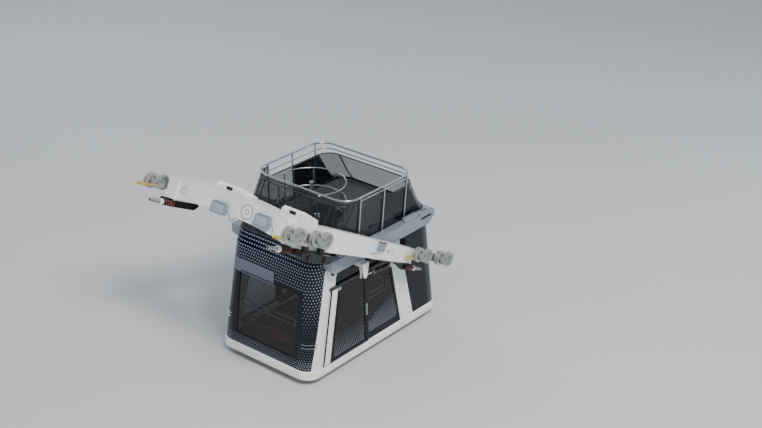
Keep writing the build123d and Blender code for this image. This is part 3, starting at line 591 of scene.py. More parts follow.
@dataclass(frozen=True)
class Outline:
    """Plan of the cabin's body at every height: rows of height, half length, half width and corner."""

    rows: tuple[tuple[float, float, float, float], ...] = (
        (-0.100, 2.611, 1.506, 0.380),
        (2.820, 2.290, 1.330, 0.360),
        (3.100, 2.060, 1.420, 0.380),
        (3.400, 1.830, 1.450, 0.400),
        (3.970, 1.490, 1.480, 0.420),
        (4.400, 1.228, 1.502, 0.420),
    )

    def at(self, z: float) -> tuple[float, float, float]:
        """Measure the plan at a height.

        Args:
            z: Height in cabin measures.

        Returns:
            Half length, half width and corner radius.
        """
        for low, high in zip(self.rows, self.rows[1:]):
            if z <= high[0]:
                break
        share = (z - low[0]) / (high[0] - low[0])
        return tuple(a + (b - a) * share for a, b in zip(low[1:], high[1:]))

    def lengths(self, z: float) -> tuple[float, float, float]:
        """Half of an end's straight, a corner's arc and a side's straight, at a height."""
        length, width, corner = self.at(z)
        return width - corner, corner * pi / 2, 2 * (length - corner)

    def wrap(self, u: float, z: float, out: float = 0.0) -> tuple[Vector, Vector]:
        """Follow the plan from the middle of the uphill end, towards the near side where u is positive.

        Args:
            u: Distance along the wall.
            z: Height in cabin measures.
            out: Distance outside the wall.

        Returns:
            The point and the level direction out of the wall.
        """
        length, _, corner = self.at(z)
        end, arc, side = self.lengths(z)
        away, sign = abs(u), -1 if u >= 0 else 1
        if away <= end:
            x, y, turn = -length + corner, away, 0.0
        elif away <= end + arc:
            x, y, turn = -length + corner, end, (away - end) / corner
        elif away <= end + arc + side:
            x, y, turn = -length + corner + away - end - arc, end, pi / 2
        elif away <= end + 2 * arc + side:
            x, y, turn = length - corner, end, pi / 2 + (away - end - arc - side) / corner
        else:
            x, y, turn = length - corner, 2 * end + 2 * arc + side - away, pi
        normal = Vector((-cos(turn), sign * sin(turn), 0))
        middle = cabin_point(x, sign * y, z)
        return middle + normal * (corner + out), normal

    def side_u(self, x: float, z: float, sign: int) -> float:
        """Measure along the wall to a point of a side.

        Args:
            x: The point's place along the cabin.
            z: Its height.
            sign: Its side, -1 near and 1 far.

        Returns:
            Distance along the wall, as wrap takes it.
        """
        length, _, corner = self.at(z)
        end, arc, _ = self.lengths(z)
        return -sign * (end + arc + x + length - corner)

    def loop(self, z: float, out: float, spans: int = 10) -> list[Vector]:
        """Go round the body at a height.

        Args:
            z: Height in cabin measures.
            out: Distance outside the wall.
            spans: Spans in each corner's arc.

        Returns:
            The points of the closed line.
        """
        end, arc, side = self.lengths(z)
        half = [k / spans * arc + end for k in range(spans + 1)]
        half += [k / spans * arc + end + arc + side for k in range(spans + 1)]
        return [self.wrap(u, z, out)[0] for u in half] + [self.wrap(-u, z, out)[0] for u in reversed(half)]

    def line(self, z: float, out: float, first: float, last: float, step: float = 0.06) -> list[Vector]:
        """Go along the wall at a height.

        Args:
            z: Height in cabin measures.
            out: Distance outside the wall.
            first: Distance along the wall where the line starts.
            last: Distance where it ends.
            step: Longest span.

        Returns:
            The points of the open line.
        """
        count = max(2, ceil(abs(last - first) / step))
        return [self.wrap(first + (last - first) * k / count, z, out)[0] for k in range(count + 1)]


OUTLINE = Outline()


def leaning_side(x: float, z: float, out: float, sign: int) -> Place:
    """Make a frame on the lower cabin's leaning side wall.

    Args:
        x: Place along the cabin.
        z: Distance up the wall.
        out: Distance out of the wall.
        sign: The side, -1 near and 1 far.

    Returns:
        The frame, with right downhill, up along the wall and out square to it.
    """
    up = Vector((0, -sign * WALL_LEAN, 1)).normalized()
    normal = Vector((0, sign, WALL_LEAN)).normalized()
    foot = cabin_point(0, sign * WALL_FOOT_HALF, 0)
    return Place(foot + Vector((x, 0, 0)) + up * z + normal * out, DOWNHILL, up, normal)


@dataclass(frozen=True)
class DotField:
    """Rows of printed dots on the cabin's glass.

    Rows run from low to high, a pitch apart. Their radius goes from foot_radius to head_radius, and the
    dots lie out from the plan's wall.
    """

    low: float
    high: float
    pitch: float
    foot_radius: float
    head_radius: float
    out: float = 0.003

    def rows(self) -> list[tuple[int, float, float]]:
        """Number, height and dot radius of each row."""
        count = max(1, round((self.high - self.low) / self.pitch))
        found = []
        for row in range(count + 1):
            share = row / count
            radius = self.foot_radius + (self.head_radius - self.foot_radius) * share
            found.append((row, self.low + (self.high - self.low) * share, radius))
        return found

    def place(self, u: float, z: float) -> Place:
        """Lay a frame flat on the wall.

        Args:
            u: Distance along the wall.
            z: Height in cabin measures.

        Returns:
            The frame, with right along the wall and up it.
        """
        middle, normal = OUTLINE.wrap(u, z, self.out)
        across = Vector((-normal.y, normal.x, 0))
        above = OUTLINE.wrap(u, z + SLOPE_REACH, self.out)[0] - middle
        up = (above - across * above.dot(across)).normalized()
        return Place(middle, across, up, across.cross(up))

    def print(self, shape: Shape, first: WallDistance, last: WallDistance) -> None:
        """Print every row between two distances along the wall.

        Args:
            shape: The shape that takes the dots.
            first: Function of a height that gives the row's first distance.
            last: Function of a height that gives its last distance.
        """
        for row, z, radius in self.rows():
            start, stop = first(z), last(z)
            count = int((stop - start) / self.pitch)
            shift = 0.5 * self.pitch * (row % 2)
            for k in range(count + 1):
                shape.dot(self.place(start + shift + k * self.pitch, z), radius)


def wall_sheet(shape: Shape, heights: Sequence[float], ends: Callable[[float], tuple[float, float]], out: float,
               thick: float, step: int = 14) -> None:
    """Add a thin sheet that follows the cabin's plan.

    Args:
        shape: The shape that takes it.
        heights: Heights of its rows, from the lowest.
        ends: Function of a height that gives its first and last distance along the wall.
        out: Distance of its back from the wall's face.
        thick: Its thickness.
        step: Spans in each row.
    """
    rings = []
    for z in heights:
        start, stop = ends(z)
        line = [OUTLINE.wrap(start + (stop - start) * k / step, z, out + thick)[0] for k in range(step + 1)]
        back = [OUTLINE.wrap(start + (stop - start) * k / step, z, out)[0] for k in range(step + 1)]
        rings.append(line + back[::-1])
    shape.loft(rings)


def rim_path(corners: Rows, inset: float, spans: int = 7) -> list[tuple[float, float]]:
    """Points along the sides of an outline, which leave its corners to be rounded off.

    Args:
        corners: The outline.
        inset: Share of each side that is left out at both its ends.
        spans: Spans along each side.

    Returns:
        The points, in the outline's order.
    """
    found = []
    for (x0, z0), (x1, z1) in zip(corners, corners[1:] + corners[:1]):
        for k in range(spans + 1):
            share = inset + (1 - 2 * inset) * k / spans
            found.append((x0 + (x1 - x0) * share, z0 + (z1 - z0) * share))
    return found


def on_side(side: int, first: WallDistance, last: WallDistance) -> tuple[WallDistance, WallDistance]:
    """Put a row's limits on one side of the cabin.

    Args:
        side: 1 for the near side, where distances are positive, and -1 for the far one.
        first: Limit nearer the uphill end, on the near side.
        last: Limit further from it.

    Returns:
        The two limits, the lower one first.
    """
    return (first, last) if side > 0 else (lambda z: -last(z), lambda z: -first(z))


@dataclass(frozen=True)
class LowerCabin:
    """Skin of the closed deck: base moulding, seals, printed glass, brackets and the room inside."""

    body: str = "cabin"
    pane_inset: float = 0.06
    screen_first_gap: float = 0.02
    screen_last_gap: float = 0.03
    leg_head_stand: float = 0.010
    leg_head_sink: float = 0.02
    cover_corner: float = 0.02
    vent_slot: tuple[float, float, float, float] = (0.030, 0.090, 0.003, 0.012)
    long_slot: tuple[float, float, float, float] = (0.420, 0.060, 0.006, 0.025)
    light_depth: float = 0.014
    light_frame_depths: tuple[float, float] = (-0.002, 0.006)
    bar_step: float = 0.04
    window_half: float = 0.960
    window_low: float = 0.480
    window_high: float = 2.160
    window_corner: float = 0.090
    screen_start: float = -1.280
    screen_end: float = 0.130
    screen_low: float = 2.120
    screen_high: float = 2.455
    screen_out: float = 0.001
    screen_thick: float = 0.0015
    screen_spans: int = 24
    screen_dots: DotField = DotField(2.138, 2.437, 0.034, 0.0105, 0.0105, out=0.0035)
    moulding: Rows = (
        (-0.118, 0.0), (-0.010, 0.0), (0.012, 0.006), (0.025, 0.022), (0.030, 0.050), (0.030, 0.180),
        (0.024, 0.211), (0.012, 0.230), (-0.006, 0.239), (-0.118, 0.240))
    foot_seal: Rows = ((-0.012, 0.2375), (0.004, 0.2375), (0.006, 0.243), (0.0, 0.252), (-0.012, 0.252))
    end_seal: float = 0.013
    side_seal: float = 0.012
    joint_seal: float = 0.008
    seal_out: float = 0.001
    side_pane: Rows = ((-0.350, 0.420), (0.864, 0.420), (0.530, 2.130), (-0.350, 2.130))
    joint_x: float = -0.385
    joint_heights: tuple[float, ...] = (0.26, 1.2, 2.15)
    band_dots: DotField = DotField(2.521, 3.060, 0.077, 0.0150, 0.0165)
    beside_screen_dots: DotField = DotField(2.290, 2.444, 0.077, 0.0150, 0.0150)
    beside_window_dots: DotField = DotField(1.136, 2.213, 0.077, 0.0040, 0.0145)
    foot_dots: DotField = DotField(0.285, 0.455, 0.060, 0.014, 0.011)
    corner_foot_dots: DotField = DotField(0.300, 0.980, 0.068, 0.014, 0.005)
    far_corner_dots: DotField = DotField(0.300, 2.740, 0.066, 0.014, 0.015)
    beside_screen_gap: float = 0.07
    beside_window_gap: float = 0.09
    far_corner_lap: float = 0.05
    pane_dot_pitch: float = 0.064
    pane_dot_low: float = 0.460
    pane_dot_rows: int = 11
    pane_dot_radius: float = 0.020
    pane_dot_shrink: float = 0.013
    pane_dot_start: float = -0.33
    pane_dot_stop: float = 0.850
    pane_dot_out: float = -0.003
    pane_rear_lean: float = 0.195
    fade_z: float = 0.72
    fade_slope: float = 2.4
    leg_head_x: tuple[float, ...] = (-1.655, 0.690)
    leg_head_z: float = 2.600
    leg_head_plate: Rows = ((-0.150, -0.130), (0.150, -0.130), (0.120, 0.118), (-0.120, 0.118))
    leg_head_bolts: Rows = ((-0.110, -0.090), (0.110, -0.090), (-0.090, 0.085), (0.090, 0.085))
    leg_head_pin: Rows = (
        (0.0, 0.070), (0.060, 0.070), (0.072, 0.060), (0.072, 0.030), (0.060, 0.026), (0.060, 0.004))
    plate_thick: float = 0.045
    shoulder_y: float = 1.530
    shoulder_face: float = 1.620
    shoulder_top: float = 3.060
    covers: tuple[tuple[float, float, float], ...] = (
        (1.150, 0.520, 0.090), (1.700, 0.460, 0.055), (-1.350, 0.600, 0.060), (-0.350, 0.360, 0.050))
    cover_across: float = 0.130
    vents_x: tuple[float, ...] = (1.62, 1.70, 1.78)
    slot_z: float = 2.960
    post_y: float = 0.985
    post_inset: float = 0.110
    post_radius: float = 0.022
    post_heights: tuple[float, ...] = (0.205, 1.0, 2.0, 2.785)
    ledge_z: float = 0.760
    ledge_wall_z: float = 0.78
    ledge_inset: float = 0.22
    ledge_top: Rows = ((-0.95, -0.15), (0.95, -0.15), (0.95, 0.10), (-0.95, 0.10))
    ledge_thick: float = 0.032
    apron_z: float = 0.560
    apron_inset: float = 0.305
    apron: Rows = ((-0.93, 0.0), (0.93, 0.0), (0.93, 0.19), (-0.93, 0.19))
    apron_thick: float = 0.022
    foot_y: tuple[float, ...] = (-0.70, 0.0, 0.70)
    foot: Rows = ((-0.02, -0.36), (0.02, -0.36), (0.02, 0.0), (-0.02, 0.0))
    foot_thick: float = 0.05
    light_x: float = 0.55
    light_y: float = 0.82
    ceiling: float = 2.787
    light_size: tuple[float, float, float] = (2.40, 0.070, 0.034)
    light_frame: tuple[float, float, float] = (2.46, 0.110, 0.050)
    bar_heights: tuple[float, ...] = (0.840, 0.930)
    bar_out: float = 0.024
    bar_radius: float = 0.009
    bar_start: float = 0.08
    bar_stop: float = 0.12
    bar_foot_in: float = 0.02
    bar_foot: Rows = ((0.0, 0.014), (0.024, 0.011))
    sill_x: float = -0.98
    sill_y: float = 1.497
    sill_z: float = 0.2405
    sill_size: tuple[float, float, float, float] = (1.25, 0.034, 0.006, 0.004)
    rib_count: int = 8
    rib_first: float = -2.0
    rib_pitch: float = 0.4
    rib_y: float = 1.236
    rib_z: float = -0.015
    rib_size: tuple[float, float, float, float] = (0.05, 0.13, 0.012, 0.006)
    pan_bolt_y: float = 1.240
    pan_bolt_z: float = 0.03
    pan_bolts: Rows = ((0.0, 0.0), (-0.07, 0.0), (0.07, 0.0))

    def corner_start(self, z: float) -> float:
        """Distance along the wall where a corner's arc starts."""
        return OUTLINE.lengths(z)[0]

    def corner_end(self, z: float) -> float:
        """Distance along the wall where an uphill corner's arc ends."""
        end, arc, _ = OUTLINE.lengths(z)
        return end + arc

    def far_corner_start(self, z: float) -> float:
        """Distance along the wall where a downhill corner's arc starts."""
        return sum(OUTLINE.lengths(z))

    def far_corner_end(self, z: float) -> float:
        """Distance along the wall where a downhill corner's arc ends."""
        return self.far_corner_start(z) + OUTLINE.lengths(z)[1]

    def far_dots_first(self, z: float) -> float:
        """Distance along the wall where the dots of a downhill corner start."""
        return self.far_corner_start(z) - self.far_corner_lap

    def window_side(self, z: float) -> float:
        """Distance along the wall where the dots beside the uphill window start."""
        return self.corner_start(z) + self.beside_window_gap

    def build_bumper(self) -> None:
        """Round the base moulding and let a black rubber strip into it."""
        moulding = Shape()
        moulding.loft([OUTLINE.loop(z, out) for out, z in self.moulding], closed=True)
        moulding.build("base_moulding", self.body, WHITE_ENAMEL, stands_for=("base_ring",))
        strip = Shape()
        strip.loft([OUTLINE.loop(z, out) for out, z in self.foot_seal], closed=True)
        strip.build("wall_foot_seal", self.body, SEAL)

    def build_seals(self) -> None:
        """Frame every window with a rubber seal."""
        seals = Shape()
        middle = (self.window_low + self.window_high) / 2
        height = self.window_high - self.window_low
        for sign in (-1, 1):
            path = []
            for y, z in rounded(2 * self.window_half, height, self.window_corner, 6):
                length = OUTLINE.at(middle + z)[0]
                path.append(cabin_point(sign * (length + self.seal_out), y, middle + z))
            seals.tube(path, self.end_seal, 8, closed=True)
        for _, sign in SIDES:
            path = [leaning_side(x, z, self.seal_out, sign).origin
                    for x, z in rim_path(self.side_pane, self.pane_inset)]
            seals.tube(path, self.side_seal, 8, closed=True)
            joint = [leaning_side(self.joint_x, z, 0.0, sign).origin for z in self.joint_heights]
            seals.tube(joint, self.joint_seal, 8)
        seals.build("window_seals", self.body, SEAL)

    def print_dots(self) -> None:
        """Print the dot patterns: a bright band round the uphill end, and fading borders."""
        band = Shape()
        self.band_dots.print(band, lambda z: -self.corner_end(z), self.corner_end)
        self.beside_screen_dots.print(band, lambda z: self.screen_end + self.beside_screen_gap, self.corner_end)
        for side in (-1, 1):
            self.beside_window_dots.print(band, *on_side(side, self.window_side, self.corner_end))
        band.build("frit_dots_uphill", self.body, FRIT_PALE)
        fine = Shape()
        self.foot_dots.print(fine, lambda z: -self.corner_end(z), self.corner_end)
        for side in (-1, 1):
            self.corner_foot_dots.print(fine, *on_side(side, self.corner_start, self.corner_end))
            self.far_corner_dots.print(fine, *on_side(side, self.far_dots_first, self.far_corner_end))
        fine.build("frit_dots_fine", self.body, FRIT_GREY)
        pane = Shape()
        for _, sign in SIDES:
            self.print_side(pane, sign)
        pane.build("frit_dots_side", self.body, FRIT_GREY)

    def print_side(self, pane: Shape, sign: int) -> None:
        """Print the fading border at the foot of a side window.

        Args:
            pane: The shape that takes the dots.
            sign: The side, -1 near and 1 far.
        """
        pitch, low = self.pane_dot_pitch, self.pane_dot_low
        for row in range(self.pane_dot_rows):
            z = low + row * pitch
            radius = self.pane_dot_radius - self.pane_dot_shrink * row / self.pane_dot_rows
            stop = self.pane_dot_stop - (z - low) * self.pane_rear_lean
            start = self.pane_dot_start + max(0.0, z - self.fade_z) * self.fade_slope
            for k in range(int((stop - start) / pitch) + 1):
                place = leaning_side(start + (row % 2) * pitch / 2 + k * pitch, z, self.pane_dot_out, sign)
                pane.dot(place, radius)

    def build_screen(self) -> None:
        """Lay the grey printed screen along the top of the uphill window."""
        ground, dots = Shape(), Shape()
        heights = [self.screen_low, self.screen_high]
        wall_sheet(ground, heights, lambda z: (self.screen_start, self.screen_end), self.screen_out,
                   self.screen_thick, self.screen_spans)
        first, last = self.screen_start + self.screen_first_gap, self.screen_end - self.screen_last_gap
        self.screen_dots.print(dots, lambda z: first, lambda z: last)
        ground.build("sun_screen_ground", self.body, FRIT_GREY)
        dots.build("sun_screen_dots", self.body, DARK_GLAZING)

    def build_brackets(self) -> None:
        """Add the plates with dark pins where the legs meet the shoulders, and covers on the shoulders."""
        plates, pins, covers, slots = Shape(), Shape(), Shape(), Shape()
        for _, sign in SIDES:
            for x in self.leg_head_x:
                y = sign * (OUTLINE.at(self.leg_head_z)[1] + self.leg_head_stand)
                place = level_side(x, y, self.leg_head_z, sign)
                plates.prism(self.leg_head_plate, place, -self.leg_head_sink, self.plate_thick)
                plates.bolts(place.moved(0, 0, self.plate_thick), self.leg_head_bolts, *LEG_HEAD_BOLT)
                pins.turned(place, self.leg_head_pin, 28)
            middle = cabin_point(0, sign * self.shoulder_y, self.shoulder_top)
            top = Place(middle, DOWNHILL, ACROSS * sign, UPWARD)
            for x, width, height in self.covers:
                covers.box(top.moved(x, 0), width, self.cover_across, height, self.cover_corner)
            for x in self.vents_x:
                slots.box(top.moved(x, 0, self.covers[1][2]), *self.vent_slot)
            edge = level_side(self.covers[1][0], sign * self.shoulder_face, self.slot_z, sign)
            slots.box(edge, *self.long_slot)
        plates.build("leg_head_plates", self.body, WHITE_ENAMEL, bevel=0.004)
        pins.build("leg_head_pins", self.body, BLACK_PAINT)
        covers.build("shoulder_covers", self.body, GREY_ENAMEL, bevel=0.008)
        slots.build("shoulder_vents", self.body, SEAL)

    def build_room(self) -> None:
        """Furnish the room: posts and wood ledges at both ends, ceiling lights."""
        posts, ledges, lights, frames = Shape(), Shape(), Shape(), Shape()
        for sign in (-1, 1):
            for y in (-self.post_y, self.post_y):
                path = [cabin_point(sign * (OUTLINE.at(z)[0] - self.post_inset), y, z)
                        for z in self.post_heights]
                posts.tube(path, self.post_radius, 12)
            length = OUTLINE.at(self.ledge_wall_z)[0]
            lay = Place(cabin_point(sign * (length - self.ledge_inset), 0, self.ledge_z), ACROSS,
                        DOWNHILL * -sign, UPWARD)
            ledges.prism(self.ledge_top, lay, 0.0, self.ledge_thick)
            front = Place(cabin_point(sign * (length - self.apron_inset), 0, self.apron_z), ACROSS, UPWARD,
                          DOWNHILL * -sign)
            ledges.prism(self.apron, front, 0.0, self.apron_thick)
            for y in self.foot_y:
                ledges.prism(self.foot, front.moved(y, 0.0), 0.0, self.foot_thick)
        for y in (-self.light_y, self.light_y):
            lamp = Place(cabin_point(self.light_x, y, self.ceiling), DOWNHILL, ACROSS, -UPWARD)
            lights.prism(rounded(*self.light_size), lamp, 0.0, self.light_depth)
            frames.prism(rounded(*self.light_frame), lamp, *self.light_frame_depths)
        posts.build("end_posts", self.body, TUBE_STEEL)
        ledges.build("wood_ledges", self.body, VARNISHED_WOOD, bevel=0.005)
        lights.build("ceiling_lights", self.body, LIGHT_COVER, bevel=0.004)
        frames.build("ceiling_light_frames", self.body, GREY_ENAMEL, bevel=0.002)

    def build_handholds(self) -> None:
        """Add the twin bars round the uphill corners and the steps' edges under the doors."""
        bars, feet = Shape(), Shape()
        for side in (-1, 1):
            for z in self.bar_heights:
                start, stop = self.corner_start(z) + self.bar_start, self.corner_end(z) - self.bar_stop
                path = OUTLINE.line(z, self.bar_out, side * start, side * stop, self.bar_step)
                bars.tube(path, self.bar_radius, 8)
                for u in (start + self.bar_foot_in, stop - self.bar_foot_in):
                    seat, normal = OUTLINE.wrap(side * u, z)
                    across = Vector((-normal.y, normal.x, 0))
                    feet.turned(Place(seat, across, UPWARD, normal), self.bar_foot, 10)
        bars.build("corner_bars", self.body, TUBE_STEEL)
        feet.build("corner_bar_feet", self.body, TUBE_STEEL)
        trims, ribs = Shape(), Shape()
        for _, sign in SIDES:
            trims.box(Place(cabin_point(self.sill_x, sign * self.sill_y, self.sill_z), DOWNHILL, ACROSS * sign,
                            UPWARD), *self.sill_size)
            for k in range(self.rib_count):
                x = self.rib_first + self.rib_pitch * k
                ribs.box(level_side(x, sign * self.rib_y, self.rib_z, sign), *self.rib_size)
                ribs.bolts(level_side(x + self.rib_pitch / 2, sign * self.pan_bolt_y, self.pan_bolt_z, sign),
                           self.pan_bolts, *COVER_BOLT)
        trims.build("door_sill_plates", self.body, TUBE_STEEL, bevel=0.002)
        ribs.build("belly_pan_ribs", self.body, BLACK_PAINT, bevel=0.003)

    def build_all(self) -> None:
        """Build every piece of the lower cabin."""
        self.build_bumper()
        self.build_seals()
        self.print_dots()
        self.build_screen()
        self.build_brackets()
        self.build_room()
        self.build_handholds()


@dataclass(frozen=True)
class Doors:
    """Trim of the two sliding doors."""

    leaf_out: float = 0.056
    glass_out: float = 0.046
    strip: Rows = ((-2.094, 0.268), (-1.890, 0.268), (-1.492, 2.144), (-1.694, 2.144))
    glass: Rows = ((-1.774, 0.352), (-0.490, 0.352), (-0.490, 2.060), (-1.412, 2.060))
    seal_radius: float = 0.010
    seal_depth: float = 0.004
    handle: tuple[float, float] = (-0.445, 1.150)
    handle_plate: tuple[float, float, float] = (0.060, 0.320, 0.025)
    grip: Rows = (
        (-0.12, 0.0), (-0.12, 0.012), (-0.11, 0.016), (0.0, 0.016), (0.11, 0.016), (0.12, 0.012), (0.12, 0.0))
    grip_radius: float = 0.0075
    hangers_x: tuple[float, ...] = (-1.45, -0.60)
    hanger_z: float = 2.104
    hanger_plate: tuple[float, float, float] = (0.150, 0.080, 0.012)
    hanger_bolts: Rows = ((-0.05, 0.0), (0.05, 0.0))
    plate_thick: float = 0.004
    dot_rows: int = 9
    dot_pitch: float = 0.064
    dot_low: float = 0.390
    dot_radius: float = 0.0165
    dot_shrink: float = 0.012
    dot_start: float = -1.745
    dot_stop: float = -0.515
    front_lean: float = 0.212
    strip_depths: tuple[float, float] = (-0.001, 0.004)
    glass_inset: float = 0.05
    dot_foot: float = 0.35
    dot_lift: float = 0.002

    def build_side(self, side: str, sign: int) -> None:
        """Dress one door: its white strip, seals, handle, hangers and printed border.

        Args:
            side: Name of the side.
            sign: -1 near and 1 far.
        """
        body = f"door_{side}"
        strip = Shape()
        strip.prism(self.strip, leaning_side(0, 0, self.leaf_out, sign), *self.strip_depths)
        strip.build(f"door_strip_{side}", body, WHITE_ENAMEL, bevel=0.0015)
        seal = Shape()
        path = [leaning_side(x, z, self.leaf_out - self.seal_depth, sign).origin
                for x, z in rim_path(self.glass, self.glass_inset)]
        seal.tube(path, self.seal_radius, 8, closed=True)
        seal.build(f"door_seal_{side}", body, SEAL)
        fittings = Shape()
        face = leaning_side(*self.handle, self.leaf_out, sign)
        fittings.prism(rounded(*self.handle_plate), face, 0.0, self.plate_thick)
        fittings.tube([face.at(0, y, z) for y, z in self.grip], self.grip_radius, 8)
        for x in self.hangers_x:
            hanger = leaning_side(x, self.hanger_z, self.leaf_out, sign)
            fittings.prism(rounded(*self.hanger_plate), hanger, 0.0, self.plate_thick)
            fittings.bolts(hanger.moved(0, 0, self.plate_thick), self.hanger_bolts, *HANGER_BOLT)
        fittings.build(f"door_fittings_{side}", body, TUBE_STEEL, bevel=0.001)
        dots = Shape()
        for row in range(self.dot_rows):
            z = self.dot_low + row * self.dot_pitch
            radius = self.dot_radius - self.dot_shrink * row / self.dot_rows
            start = self.dot_start + (z - self.dot_foot) * self.front_lean
            for k in range(int((self.dot_stop - start) / self.dot_pitch)):
                x = start + (row % 2) * self.dot_pitch / 2 + k * self.dot_pitch
                dots.dot(leaning_side(x, z, self.glass_out + self.dot_lift, sign), radius)
        dots.build(f"door_dots_{side}", body, FRIT_GREY)

    def build_all(self) -> None:
        """Dress both doors."""
        for side, sign in SIDES:
            self.build_side(side, sign)


@dataclass(frozen=True)
class UpperDeck:
    """Open deck: studded cover, well trim, glazing bars, pane channels, dark panels and the stair's rail."""

    body: str = "cabin"
    desk_slope: Vector = Vector((0.070, 0, -0.100))
    screen_up: Vector = Vector((-1, 0, 0.2))
    screen_out: Vector = Vector((0.196, 0, 0.98))
    keys_out: Vector = Vector((0.82, 0, 0.573))
    screen_depth: float = 0.012
    lever_row: float = 0.080
    desk_door_depth: float = 0.006
    well: float = 0.800
    pane_out: float = -0.025
    high_end: float = -0.810
    stud_pitch: float = 0.095
    treads: int = 13
    rise: float = 2.900 / 14
    turn: float = 27.0
    first_turn: float = 200.0
    dots_in: float = 0.07
    dots_past: float = 0.10
    edge_start: float = 0.95
    cover_inset: float = 0.075
    cover_thick: float = 0.004
    cover_gap: float = 0.045
    stud_margin: float = 0.12
    stud_well_gap: float = 0.085
    stud: Rows = ((0.0, 0.017), (0.003, 0.013))
    corner_from: float = 0.45
    corner_reach: float = 0.52
    desk_front: float = -1.06
    desk_back: float = -1.40
    desk_near: float = -1.11
    desk_far: float = -0.63
    trim_out: float = 0.048
    trim_in: float = 0.002
    trim_thick: float = 0.010
    bars_x: tuple[float, ...] = (0.13, 0.93)
    bar_heights: tuple[float, ...] = (DECK_TOP, 3.250, 3.400, 3.700, PANEL_TOP, PANE_TOP)
    bar: Rows = ((-0.014, -0.022), (0.014, -0.022), (0.014, 0.005), (-0.014, 0.005))
    cap_radius: float = 0.015
    cap_depth: float = 0.009
    cap_step: float = 0.05
    foot_channel: Rows = ((0.0, 3.098), (0.010, 3.098), (0.010, 3.128), (0.0, 3.134))
    foot_depth: float = 0.008
    panel_start: float = 0.17
    panel_past: float = 0.04
    panel_heights: tuple[float, ...] = (3.150, 3.280, 3.400, 3.600, 3.800, 3.940)
    panel_out: float = 0.001
    panel_thick: float = 0.005
    corner_dots: DotField = DotField(3.150, 3.930, 0.052, 0.013, 0.011, out=-0.022)
    edge_dots: DotField = DotField(2.845, 3.085, 0.052, 0.013, 0.013, out=0.003)
    floor: float = 0.2
    rail_reach: float = 0.715
    rail_height: float = 0.95
    rail_radius: float = 0.019
    rail_points: int = 4
    baluster_radius: float = 0.009
    baluster_sink: float = 0.02
    nosing_inner: tuple[float, float] = (0.070, 0.052)
    nosing_outer: tuple[float, float] = (0.728, 0.185)
    nosing_width: float = 0.030
    nosing_thick: float = 0.003
    desk_y: float = -0.870
    screen_at: tuple[float, float] = (-1.255, 4.0)
    screen_size: tuple[float, float, float] = (0.300, 0.110, 0.012)
    keys_at: tuple[float, float] = (-1.145, 3.930)
    keys_y: tuple[float, ...] = (-0.13, -0.08, -0.03, 0.03, 0.08, 0.13)
    keys_stagger: float = 0.012
    key: Rows = ((0.0, 0.013), (0.012, 0.013), (0.016, 0.009))
    levers_y: tuple[float, ...] = (-0.10, 0.10)
    lever_height: float = 0.07
    lever_radius: float = 0.007
    desk_door_at: tuple[float, float] = (-1.110, 3.480)
    desk_door: tuple[float, float, float] = (0.320, 0.560, 0.015)

    def build_cover(self) -> None:
        """Lay the studded cover round the stairwell and trim the well with a steel ring."""
        edge = OUTLINE.loop(DECK_TOP, -self.cover_inset, 8)
        centre = cabin_point(*STAIR_CENTRE, DECK_TOP)
        inner = [centre + (point - centre).normalized() * (self.well + self.cover_gap) for point in edge]
        rise = Vector((0, 0, self.cover_thick))
        cover = Shape()
        cover.loft([edge, [p + rise for p in edge], [p + rise for p in inner], inner], closed=True)
        length, width, _ = OUTLINE.at(DECK_TOP)
        across, along = int(2 * width / self.stud_pitch), int(2 * length / self.stud_pitch)
        for i in range(1, along):
            for j in range(1, across):
                x = -length + (i + 0.5 * (j % 2)) * self.stud_pitch
                y = -width + j * self.stud_pitch
                if self.holds_stud(x, y):
                    stud = Place(cabin_point(x, y, DECK_TOP + self.cover_thick), DOWNHILL, ACROSS, UPWARD)
                    cover.turned(stud, self.stud, 8)
        cover.build("deck_cover", self.body, FLOOR_RUBBER)
        trim = Shape()
        top = Place(centre, DOWNHILL, ACROSS, UPWARD)
        trim.ring(top, self.well + self.trim_out, self.well - self.trim_in, self.trim_thick, 56)
        trim.build("stairwell_trim", self.body, TUBE_STEEL, bevel=0.003)

    def holds_stud(self, x: float, y: float) -> bool:
        """Say whether the cover lies at a place, clear of the stairwell, the walls and the desk.

        Args:
            x: Place along the cabin.
            y: Place across it.

        Returns:
            Whether a stud goes there.
        """
        length, width, _ = OUTLINE.at(DECK_TOP)
        away = Vector((x - STAIR_CENTRE[0], y - STAIR_CENTRE[1])).length
        corner = max(abs(x) - length + self.corner_from, 0) + max(abs(y) - width + self.corner_from, 0)
        at_wall = abs(x) > length - self.stud_margin or abs(y) > width - self.stud_margin
        at_desk = self.desk_back < x < self.desk_front and self.desk_near < y < self.desk_far
        return not (away < self.well + self.stud_well_gap or at_wall or corner > self.corner_reach or at_desk)

    def bar_spots(self) -> list[tuple[WallDistance, float]]:
        """Distance of each glazing bar along the wall, by height, and the bar's top."""
        spots = []
        for side in (-1, 1):
            spots.append((lambda z, s=side: s * OUTLINE.lengths(z)[0], PANE_TOP))
            spots.append((lambda z, s=side: s * sum(OUTLINE.lengths(z)[:2]), PANE_TOP))
            spots.append((lambda z, s=side: s * sum(OUTLINE.lengths(z)), PANEL_TOP))
            spots.append((lambda z, s=side: s * (sum(OUTLINE.lengths(z)) + OUTLINE.lengths(z)[1]), PANEL_TOP))
            for x, top in ((self.high_end, PANE_TOP), *((x, PANEL_TOP) for x in self.bars_x)):
                spots.append((lambda z, s=side, at=x: s * abs(OUTLINE.side_u(at, z, -1)), top))
        spots.append((lambda z: 0.0, PANE_TOP))
        return spots

